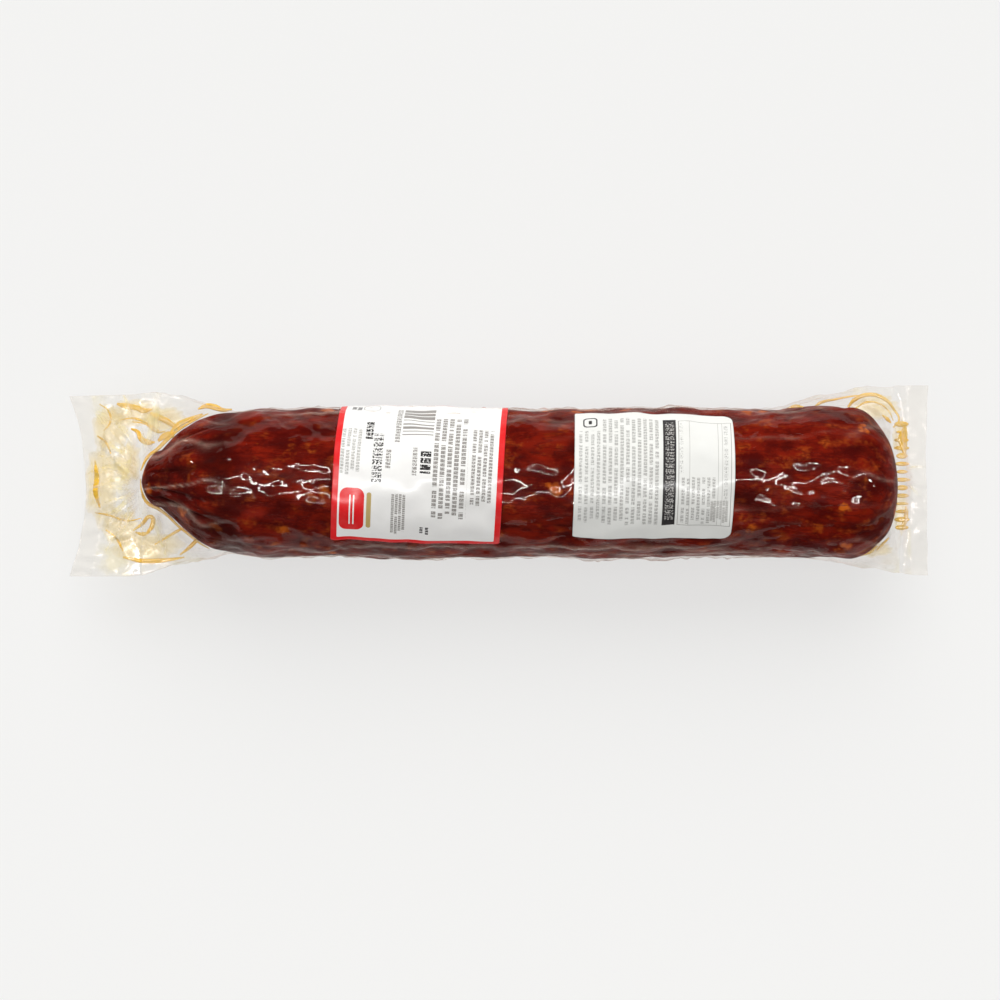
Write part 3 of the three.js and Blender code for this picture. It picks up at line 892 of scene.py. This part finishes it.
def printed_paper(name, label, bare, patches, blocks):
    """A label's paper: patches of ink and then blocks of greeked text, over its bare colour."""
    material, graph, surface = new_material(name)
    place = paper_place(graph, label)
    colour = bare
    for patch in patches:
        colour = print_over(graph, colour, place, PRINTED_PATCH, PATCH_SOCKETS, patch)
    for block in blocks:
        colour = print_over(graph, colour, place, GREEKED_TEXT, TEXT_SOCKETS, block)
    finish_paper(graph, surface, place, colour)
    return material


def product_print():
    """White paper in a red frame, with greeked text, a bar block and a plain red and gold device."""
    right, head = PRODUCT_LABEL["width"] - FRAME_SIDE, PRODUCT_LABEL["height"] - FRAME_HEAD
    panel = (FRAME_SIDE, right, FRAME_FOOT, head, FRAME_CORNER, PAPER_WHITE)
    bars = [(BARS_LEFT, BARS_RIGHT, bottom, top, 0.0, INK_GREY) for bottom, top in BARS]
    patches = (panel, *PRODUCT_PATCHES, *bars)
    return printed_paper("red_framed_label_paper", PRODUCT_LABEL, LABEL_RED, patches, PRODUCT_TEXT)


def details_print():
    """Plain white paper with small greeked text, a dark heading bar and a ruled table."""
    name, bare = "plain_label_paper", PLAIN_PAPER_WHITE
    return printed_paper(name, DETAILS_LABEL, bare, DETAILS_PATCHES, DETAILS_TEXT)


# ---------------- the pieces


def build_sausage():
    """The meat: a round bar with a knobbed nose, a squarer heel and the skin's relief all over it."""
    t = np.linspace(0, 1, SKIN_ROWS)[:, None]
    crowded = (np.tanh(END_CROWDING * (t - 0.5)) / np.tanh(END_CROWDING / 2) + 1) / 2
    x = TIP + LENGTH * mix(crowded, t, EVEN_SHARE)
    x = np.clip(x, TIP + 0.02, HEEL - 0.02)
    angle = (np.arange(SKIN_SIDES) * 2 * np.pi / SKIN_SIDES)[None, :]
    relief = sample(SKIN, x + 0 * angle, angle + 0 * x)
    radius = np.maximum(skin_radius(x) + relief * smooth(skin_radius(x) / 14), 0.15)
    y = radius * np.cos(angle)
    z = np.maximum(radius * np.sin(angle), -FLAT_DROP)
    skewed = x - HEEL_SKEW * y * smooth((x - HEEL + 60) / 60)
    points = np.stack([skewed + 0 * angle, y + bow_at(x), z + AXIS_Z], axis=-1).reshape(-1, 3)
    poles = [(TIP, float(bow_at(TIP)), AXIS_Z), (HEEL, AXIS_Y, AXIS_Z)]
    count = len(points)
    faces = tube_faces(SKIN_ROWS, SKIN_SIDES) + pole_faces(0, SKIN_SIDES, count, False)
    faces += pole_faces((SKIN_ROWS - 1) * SKIN_SIDES, SKIN_SIDES, count + 1, True)
    piece = make_object("Sausage", np.vstack([points, poles]), faces, cured_meat())
    # How much painted shade each point of the skin gets, from how deep its relief is there.
    crevice_shade = np.clip((-CREVICE_SHADE_START - relief) / CREVICE_SHADE_RANGE, 0, 1)
    store(piece, "crevice_shade", np.append(crevice_shade, [0, 0]))
    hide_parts("sausage")
    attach(piece, "root")
    return piece


def build_pouch():
    """The film: one closed surface that hugs the sausage and flattens to a welded flap at each end."""
    x, angle = STATIONS + 0 * ANGLES, ANGLES + 0 * STATIONS
    radius = film_radius(x)
    width = half_width(x)
    nose, heel = flap_shares(x)
    nose_weld = smooth((POUCH_LOW.x + NOSE_WELD - x) / WELD_FADE)
    weld = np.maximum(nose_weld, smooth((x - POUCH_HIGH.x + HEEL_WELD) / WELD_FADE))
    gap = mix(HALF_GAP, WELDED_GAP, weld)
    gap = np.minimum(gap, mix(STAND_OFF, gap, np.maximum(*spreads(x))))
    hug = np.maximum(radius, SIDE_HUG * width)
    c, s = np.cos(angle), np.sin(angle)
    across = hug * c + (width - hug) * c ** 3
    share = np.clip(1 - (across / width) ** 2, 0, 1)
    bulge = gap + np.maximum(radius - gap, 0) * share ** (width ** 2 / (2 * radius ** 2))
    bulge = np.where(share < 1e-9, 0, bulge)
    on_body = np.clip(radius / RADIUS, 0, 1) ** 0.5
    relief = FILM * smooth((radius - 3) / 12) * on_body
    y = across + relief * c + middle_y(x)
    z = np.maximum(np.tanh(s / SIDE_SHARPNESS) * bulge + relief * s, RESTING_CLEARANCE - AXIS_Z)
    free = outside_sausage(x, y)
    creases = fan_creases(x, y) * free
    drop = nose ** 2 * NOSE_DROOP + heel ** 2 * HEEL_DROOP + FLAP_ARCH * (nose + heel) * (1 - share)
    skew = HEEL_SKEW * (y - bow_at(x)) * smooth((x - HEEL + 60) / 60) * (1 - heel)
    plan_x = x + drawn_in(x, share) - skew
    z = z - drop + flap_wave(plan_x, y) + AXIS_Z
    waver = CUT_EDGE_WAVER * grain(y, 0 * y, 0 * y + np.sign(x), 9, 12) * np.maximum(nose, heel) ** 6
    points = np.stack([plan_x + waver, y, z], axis=-1).reshape(-1, 3)
    faces = tube_faces(FILM_ROWS, FILM_SIDES) + flat_end_faces(0, FILM_SIDES, False)
    faces += flat_end_faces((FILM_ROWS - 1) * FILM_SIDES, FILM_SIDES, True)
    piece = make_object("VacuumPouch", points, faces, clear_film())
    store(piece, "lift", np.clip(FOLDS ** 1.5 + GATHERS, 0, 1) * (1 - free))
    bridging = smooth((bulge - 2) / 8) * smooth((x - HEEL) / 2)
    store(piece, "free", free * (1 - BRIDGE_CLEARNESS * bridging))
    store(piece, "crease", np.clip(creases, 0, 1))
    store(piece, "weld", weld)
    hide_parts("vacuum_pouch")
    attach(piece, "root")
    return piece


def corner_cut(v, half, corner):
    """How far a round corner takes the paper's side in, at a height above its middle."""
    into = np.clip(np.abs(v) - (half - corner), 0, corner * 0.999)
    return corner - np.sqrt(corner ** 2 - into ** 2)


def build_label(name, node, label, material):
    """A paper label that lies on the film, cut with its own corners and lying a little askew."""
    half_h, half_w = label["height"] / 2, label["width"] / 2
    t = np.linspace(-1, 1, PAPER_ROWS)[:, None]
    v = half_h * mix(t, np.sin(t * np.pi / 2), 0.25)
    bulge = label["bulge"] * (1 - (v / half_h) ** 2)
    left = -half_w + corner_cut(v, half_h, label["left_corner"])
    right = half_w - corner_cut(v, half_h, label["right_corner"]) + bulge
    u = left + (right - left) * np.linspace(0, 1, PAPER_ROWS)[None, :]
    v = v + 0 * u
    skew = math.radians(label["skew"])
    x = TIP + label["from_tip"] + u * math.cos(skew) - v * math.sin(skew)
    arc = u * math.sin(skew) + v * math.cos(skew)
    from_top = math.radians(label["turn"]) + arc / (RADIUS + STAND_OFF)
    r = film_radius(x) + sample(PAPER, x, np.pi / 2 - from_top) + PAPER_LIFT + PAPER_THICKNESS
    y, z = r * np.sin(from_top) + middle_y(x), r * np.cos(from_top) + AXIS_Z
    points = np.stack([x, y, z], axis=-1).reshape(-1, 3)
    piece = make_object(name, points, sheet_faces(PAPER_ROWS), material)
    spots = np.stack([u / label["width"] + 0.5, v / label["height"] + 0.5], axis=-1).reshape(-1, 2)
    corners = [spots[loop.vertex_index] for loop in piece.data.loops]
    layer = piece.data.uv_layers.new(name="paper")
    layer.data.foreach_set("uv", np.asarray(corners, np.float32).ravel())
    solid = piece.modifiers.new("paper thickness", "SOLIDIFY")
    solid.thickness = PAPER_THICKNESS * MM
    solid.offset = -1
    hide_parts(node)
    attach(piece, "root")
    return piece


# Oil streaks: points x, y in the frame with the streak's half width there
NOSE_STREAKS = (
    ((-168, 34, 0.5), (-164, 33, 1.4), (-159, 32.2, 1.2), (-156, 31, 1.3), (-152, 31.5, 0.4)),
    ((-153, 30, 0.5), (-150, 28.4, 1.2), (-146, 26.5, 1.4), (-143, 24.6, 1.1), (-140, 23, 0.5)),
    ((-161.5, 23, 0.4), (-158.5, 21.5, 0.9), (-157, 18.5, 1.2), (-154, 17, 1.3), (-151, 17, 0.4)),
    ((-145, 20, 0.4), (-141, 24.5, 1.2), (-137.5, 26.5, 1.0), (-133, 28.2, 0.8), (-130, 29.5, 0.3)),
    ((-132, 31.6, 0.4), (-128, 33, 1.2), (-124.5, 32.4, 1.4), (-121, 31.2, 0.9), (-117, 31.4, 0.4)),
    ((-149.5, 17.5, 0.6), (-147, 19.6, 1.5), (-144, 20.4, 1.3), (-142.5, 18.6, 0.4)),
    ((-160.5, -21.8, 0.3), (-156.5, -19, 0.8), (-152.5, -15.8, 0.9), (-152.2, -20, 1.1),
     (-154, -22.4, 0.6)),
    ((-159.5, -22.6, 0.3), (-156, -23.4, 1.0), (-153, -22.3, 0.4)),
    ((-151, -28, 0.3), (-146, -25, 0.6), (-141, -22, 0.7), (-138, -20.5, 0.3)),
    ((-140, -32.5, 0.3), (-136, -29.5, 0.8), (-133, -26.5, 0.9), (-131, -24.5, 0.3)),
    ((-173, -21.5, 0.2), (-169, -24.5, 0.5), (-166, -28.5, 0.6), (-165, -31, 0.3)),
    ((-165, -33.5, 0.4), (-158, -35, 1.0), (-150, -35.2, 1.1), (-143, -34.4, 0.7), (-138, -33.6, 0.3)),
    ((-166, 27, 0.2), (-160, 27.5, 0.5), (-153, 24.5, 0.5), (-149, 22, 0.2)),
    ((-177, 20, 0.3), (-173, 17, 0.6), (-170.5, 12, 0.3)),
    ((-178, 9, 0.3), (-177, 2, 1.3), (-177.5, -5, 1.2), (-175.5, -12, 0.4)),
    ((-176, 34, 0.2), (-172, 31, 0.4), (-171, 26, 0.5), (-174, 22, 0.2)),
    ((-127.5, 29.6, 0.2), (-132, 27.6, 0.6), (-136, 25.4, 0.6), (-140.6, 22.4, 0.6), (-145.2, 18.6, 0.9),
     (-149.6, 14.2, 0.8), (-154.2, 10.4, 0.7), (-157.2, 4.5, 0.3)),
    ((-157.4, 1, 0.2), (-156.6, -5, 0.5), (-154, -9.8, 0.8), (-149.5, -12.2, 0.8), (-145, -15.6, 0.6),
     (-140.5, -20, 0.6), (-136, -23.6, 0.6), (-131.5, -27.2, 0.5), (-127, -29.8, 0.2)),
    ((-161, 26, 0.2), (-155.5, 25.2, 0.4), (-150, 21.5, 0.5), (-146.5, 21.8, 0.3)),
    ((-178, -14, 0.2), (-172, -15, 0.5), (-163, -17.5, 0.4), (-157, -16.5, 0.2)),
)
HEEL_STREAKS = (
    ((127, 31.8, 0.3), (131, 32.8, 0.9), (134.5, 32.4, 0.4)),
    ((139, 32.4, 0.4), (142, 34.4, 0.7), (149, 36, 0.5), (156, 37.3, 0.4), (160, 37.6, 0.2)),
    ((154, 32.5, 0.5), (157, 35.8, 0.9), (164, 38.0, 0.9), (170, 36.0, 0.8), (174.5, 31.0, 0.5),
     (176.5, 27.0, 0.5), (174, 23.5, 0.4)),
    ((157.5, 32, 0.3), (162, 34.6, 0.5), (168, 33.8, 0.4), (172, 30.5, 0.3), (174, 26.5, 0.2)),
    ((169, 29, 0.3), (171.5, 27, 0.9), (173, 25.5, 0.3)),
    ((179.3, 25, 0.4), (178.9, 21.5, 1.6), (178.2, 18.5, 2.4), (178.6, 15, 1.5), (179.2, 11, 0.5)),
    ((179.4, -11, 0.3), (179.6, -14, 0.9), (179.0, -18, 1.1), (177.0, -21.5, 0.4)),
    ((167, -28.5, 0.4), (164, -31, 0.8), (159.5, -32.8, 0.5)),
    ((172, -25, 0.3), (169.5, -27.5, 0.6), (166.5, -30.5, 0.3)),
)
# Pools of thin oil: middle x, y and half sizes
NOSE_POOLS = (
    (-160.5, 30.0, 12, 6), (-175, -1, 7, 20), (-155, -29, 16, 7), (-146, 27, 10, 6), (-171, 23, 8, 10),
    (-166, -20, 8, 8), (-163, 8, 6, 9),
)
HEEL_POOLS = ((165.5, 32.5, 11, 5.5), (177.2, 19, 3.4, 8), (177, -14, 3.4, 9), (166, -30, 8, 3.5))
POOL_HALF_DEPTH = 0.16
POOL_RINGS, POOL_SIDES = 8, 40
STREAK_STEP = 0.5
STREAK_THINNESS, BAR_THINNESS = 0.4, 0.5   # how much flatter the film presses the oil
MOST_RISE = 0.42         # half the thickest the oil gets between the two layers
COMB_SPACING, COMB_SEED = 3.4, 4
BAR_HALF_LENGTH, BAR_HALF_WIDTH = 3.2, 1.05
SMALLEST_DROP, LARGEST_DROP = (0.8, 0.6, 0.7), (1.15, 1.3, 1.1)


def paint_and_end(graph, shape, source, end):
    """The last steps of a tree: its instances are made real and given the oil."""
    real = graph.node("GeometryNodeRealizeInstances", {0: shape}).outputs[0]
    painted = graph.node("GeometryNodeSetMaterial", {"Geometry": real, "Material": source["Oil"]})
    graph.feed(end, painted.outputs[0])


def streak_tree():
    """Turns a curve into a tube that tapers with the curve's own radius."""
    sockets = {"Curve": GEOMETRY, "Half Width": NUMBER, "Step": NUMBER, "Oil": "NodeSocketMaterial"}
    tree, graph, source, target = new_group(
        "oil streak", sockets, {"Streaks": GEOMETRY}, "GeometryNodeTree"
    )
    steps = {"Curve": source["Curve"], "Length": source["Step"]}
    line = graph.node("GeometryNodeResampleCurve", steps, mode="LENGTH").outputs[0]
    round_sides = {"Resolution": 12, "Radius": source["Half Width"]}
    ring = graph.node("GeometryNodeCurvePrimitiveCircle", round_sides).outputs[0]
    own = graph.node("GeometryNodeInputRadius").outputs[0]
    inputs = {"Curve": line, "Profile Curve": ring, "Scale": own, "Fill Caps": True}
    tube = graph.node("GeometryNodeCurveToMesh", inputs).outputs[0]
    paint_and_end(graph, tube, source, target["Streaks"])
    return tree


def comb_tree():
    """A row of drop-shaped bars, as oil leaves between the teeth of the heel's weld."""
    sockets = {
        "Curve": GEOMETRY, "Spacing": NUMBER, "Half Length": NUMBER, "Half Width": NUMBER,
        "Seed": "NodeSocketInt", "Oil": "NodeSocketMaterial",
    }
    tree, graph, source, target = new_group("oil comb", sockets, {"Bars": GEOMETRY}, "GeometryNodeTree")
    steps = {"Curve": source["Curve"], "Length": source["Spacing"]}
    places = graph.node("GeometryNodeCurveToPoints", steps, mode="LENGTH").outputs[0]
    drop = graph.node("GeometryNodeMeshUVSphere", {"Segments": 16, "Rings": 10, "Radius": 1.0}).outputs[0]
    half_sizes = {0: source["Half Length"], 1: source["Half Width"], 2: source["Half Width"]}
    size = graph.node("ShaderNodeCombineXYZ", half_sizes).outputs[0]
    spread = {0: SMALLEST_DROP, 1: LARGEST_DROP, "Seed": source["Seed"]}
    varied = graph.node("FunctionNodeRandomValue", spread, data_type="FLOAT_VECTOR").outputs[0]
    scale = graph.node("ShaderNodeVectorMath", {0: size, 1: varied}, operation="MULTIPLY").outputs[0]
    inputs = {"Points": places, "Instance": drop, "Scale": scale}
    bars = graph.node("GeometryNodeInstanceOnPoints", inputs).outputs[0]
    paint_and_end(graph, bars, source, target["Bars"])
    return tree


def curve_object(name, lines):
    """Curves through points x, y with a half width each, on the plane Z = 0, in metres."""
    curve = bpy.data.curves.new(name, "CURVE")
    curve.dimensions = "3D"
    for points in lines:
        spline = curve.splines.new("BEZIER")
        spline.bezier_points.add(len(points) - 1)
        for knot, (x, y, half) in zip(spline.bezier_points, points):
            knot.co = (x * MM, y * MM, 0)
            knot.radius = half
            knot.handle_left_type = "AUTO"
            knot.handle_right_type = "AUTO"
        spline.resolution_u = 12
    made = bpy.data.objects.new(name, curve)
    bpy.context.scene.collection.objects.link(made)
    return made


def run_nodes(made, tree, values, name):
    """Runs a tree over an object with named input values and keeps the resulting mesh."""
    modifier = made.modifiers.new(tree.name, "NODES")
    modifier.node_group = tree
    for item in tree.interface.items_tree:
        if item.item_type == "SOCKET" and item.in_out == "INPUT" and item.name in values:
            modifier[item.identifier] = values[item.name]
    bpy.context.view_layer.update()
    return evaluated_copy(made, name)


def lay_in_flap(piece, thin, depth_at):
    """Lays oil that was made round about Z = 0 between the flap's two layers, and stores its depth."""
    points = np.empty(len(piece.data.vertices) * 3)
    piece.data.vertices.foreach_get("co", points)
    points = points.reshape(-1, 3) / MM
    rise = np.clip(points[:, 2] * thin, -MOST_RISE, MOST_RISE)
    points[:, 2] = flap_height(points[:, 0], points[:, 1]) + rise
    piece.data.vertices.foreach_set("co", (points * MM).ravel())
    piece.data.polygons.foreach_set("use_smooth", [True] * len(piece.data.polygons))
    store(piece, "depth", depth_at(np.abs(rise)))
    piece.data.update()
    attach(piece, "root")


def thick_oil(rise):
    return np.clip(0.55 + rise * 2.2, 0, 1)


def thin_oil(rise):
    return 0.02 + rise * 0.8


def pool_mesh(name, pools, material):
    """Thin, wavy-edged lenses of oil about Z = 0, closed at their middles."""
    points, faces = [], []
    for number, (x, y, half_x, half_y) in enumerate(pools):
        first = len(points)
        points += [(x, y, POOL_HALF_DEPTH), (x, y, -POOL_HALF_DEPTH)]
        for side in (1, -1):
            for ring in range(1, POOL_RINGS + (side > 0)):
                share = ring / POOL_RINGS
                height = side * POOL_HALF_DEPTH * (1 - share ** 2)
                for k in range(POOL_SIDES):
                    a = 2 * math.pi * k / POOL_SIDES
                    wavy = 1 + 0.35 * noise.noise((3 * math.cos(a), 3 * math.sin(a), number * 5.1))
                    reach = wavy * share
                    spot = (x + half_x * reach * math.cos(a), y + half_y * reach * math.sin(a), height)
                    points.append(spot)
        faces += pool_faces(first)
    return make_object(name, points, faces, material)


def pool_faces(first):
    """Faces of one pool; its upper and lower sides share their outermost ring of points."""
    top = first + 2
    under = top + POOL_RINGS * POOL_SIDES
    faces = []

    def ring_start(side, ring):
        start = top if side > 0 or ring == POOL_RINGS else under
        return start + (ring - 1) * POOL_SIDES

    for side in (1, -1):
        middle = first if side > 0 else first + 1
        turn = 1 if side > 0 else -1
        for k in range(POOL_SIDES):
            after = (k + 1) % POOL_SIDES
            start = ring_start(side, 1)
            faces.append((middle, start + k, start + after)[::turn])
            for ring in range(1, POOL_RINGS):
                inner, outer = ring_start(side, ring), ring_start(side, ring + 1)
                faces.append((inner + k, outer + k, outer + after, inner + after)[::turn])
    return faces


def build_oil():
    oil = trapped_oil()
    streaks = streak_tree()
    for name, lines in (("OilStreaksNose", NOSE_STREAKS), ("OilStreaksHeel", HEEL_STREAKS)):
        values = {"Half Width": MM, "Step": STREAK_STEP * MM, "Oil": oil}
        made = run_nodes(curve_object(name, lines), streaks, values, name)
        lay_in_flap(made, STREAK_THINNESS, thick_oil)
    edge_x = POUCH_HIGH.x - HEEL_WELD - BAR_HALF_LENGTH
    row = curve_object("comb_row", [((edge_x, 25, 1), (edge_x + 0.2, 2, 1), (edge_x, -20.5, 1))])
    values = {
        "Spacing": COMB_SPACING * MM, "Half Length": BAR_HALF_LENGTH * MM,
        "Half Width": BAR_HALF_WIDTH * MM, "Seed": COMB_SEED, "Oil": oil,
    }
    lay_in_flap(run_nodes(row, comb_tree(), values, "OilComb"), BAR_THINNESS, thick_oil)
    for name, pools in (("OilPoolsNose", NOSE_POOLS), ("OilPoolsHeel", HEEL_POOLS)):
        lay_in_flap(pool_mesh(name, pools, oil), 1, thin_oil)


# ---------------- floor, light and camera

FRAME_WIDTH = 440.0      # width of the view at the height of the sausage's axis
CAMERA_DISTANCE = 1200.0
CAMERA_OVER = (0.9, -8.4)
SENSOR = 36.0
FLOOR_HALF = 4000
FLOOR_DARK, FLOOR_PALE = (0.27, 0.27, 0.268, 1), (0.29, 0.29, 0.288, 1)
FLOOR_GLOW = 0.605
SUN_SOFTNESS = 50        # degrees across
STRIP_SIZE = (2200, 75)
STRIP_PLACE = (0, -90, 1500)
STRIP_AIM_HEIGHT = 30
STRIP_POWER = 27.0
WORLD_LIGHT = 0.34
WORLD_DIMMER_IN_GLOSS = 0.295
WORLD_BRIGHTER_BEHIND = 0.56


def pale_floor():
    """Plain pale studio floor with a faint unevenness and a little light of its own."""
    material, graph, surface = new_material("pale_floor")
    colour = graph.blend(graph.noise(graph.place(), 900, 2), FLOOR_DARK, FLOOR_PALE)
    inputs = {
        "Base Color": colour, "Roughness": 0.9, "Specular IOR Level": 0.1,
        "Emission Color": (1, 1, 0.99, 1), "Emission Strength": FLOOR_GLOW,
    }
    graph.feed(surface, graph.shader("Principled", inputs))
    return material


def build_floor():
    corners = [(-1, -1), (1, -1), (1, 1), (-1, 1)]
    points = [(x * FLOOR_HALF, y * FLOOR_HALF, 0) for x, y in corners]
    make_object("Floor", points, [(0, 1, 2, 3)], pale_floor())


def add_lamp(name, kind, power, colour, tilt):
    """A lamp that points down, but for a tilt in radians that leans its light towards +Y."""
    light = bpy.data.lights.new(name, kind)
    light.energy = power
    light.color = colour
    lamp = bpy.data.objects.new(name, light)
    lamp.rotation_euler = (tilt, 0, 0)
    bpy.context.scene.collection.objects.link(lamp)
    return lamp


def add_sun(name, tilt, strength, colour):
    """Even light from a direction that leans from overhead by `tilt` degrees, towards +Y."""
    lamp = add_lamp(name, "SUN", strength, colour, -math.radians(tilt))
    lamp.data.angle = math.radians(SUN_SOFTNESS)
    lamp.visible_glossy = False


def add_strip():
    """A long strip overhead that only glosses: it makes the film's highlights."""
    x, y, z = STRIP_PLACE
    lamp = add_lamp("StripLamp", "AREA", STRIP_POWER, (1, 1, 1), math.atan2(-y, z - STRIP_AIM_HEIGHT))
    lamp.data.shape = "RECTANGLE"
    lamp.data.size, lamp.data.size_y = (edge * MM for edge in STRIP_SIZE)
    lamp.location = (x * MM, y * MM, z * MM)
    lamp.visible_diffuse = False


def build_world():
    """A pale surround, dimmer in reflections and brighter behind the object than it is as light."""
    world = bpy.data.worlds.new("Studio")
    bpy.context.scene.world = world
    world.use_nodes = True
    graph = Graph(world.node_tree)
    path = graph.node("ShaderNodeLightPath").outputs
    background = world.node_tree.nodes["Background"]
    background.inputs["Color"].default_value = (1.0, 0.99, 0.98, 1)
    strength = graph.minus(WORLD_LIGHT, graph.times(path["Is Glossy Ray"], WORLD_DIMMER_IN_GLOSS))
    strength = graph.plus(strength, graph.times(path["Is Camera Ray"], WORLD_BRIGHTER_BEHIND))
    graph.feed(background.inputs["Strength"], strength)


def build_lights():
    add_sun("KeyLight", 50, 2.3, (1.0, 0.99, 0.97))
    add_sun("TopLight", -8, 0.76, (1.0, 1.0, 1.0))
    add_strip()
    build_world()


def build_camera():
    camera = bpy.data.cameras.new("Overhead")
    camera.sensor_width = SENSOR
    camera.lens = SENSOR * CAMERA_DISTANCE / FRAME_WIDTH
    camera.clip_start = 0.05
    camera.clip_end = 20
    made = bpy.data.objects.new("Overhead", camera)
    made.location = (CAMERA_OVER[0] * MM, CAMERA_OVER[1] * MM, (AXIS_Z + CAMERA_DISTANCE) * MM)
    bpy.context.scene.collection.objects.link(made)
    bpy.context.scene.camera = made


build_camera()
build_lights()
build_floor()
build_sausage()
build_pouch()
build_label("ProductLabel", "product_label", PRODUCT_LABEL, product_print())
build_label("DetailsLabel", "details_label", DETAILS_LABEL, details_print())
build_oil()
bpy.context.scene.view_settings.view_transform = "Standard"
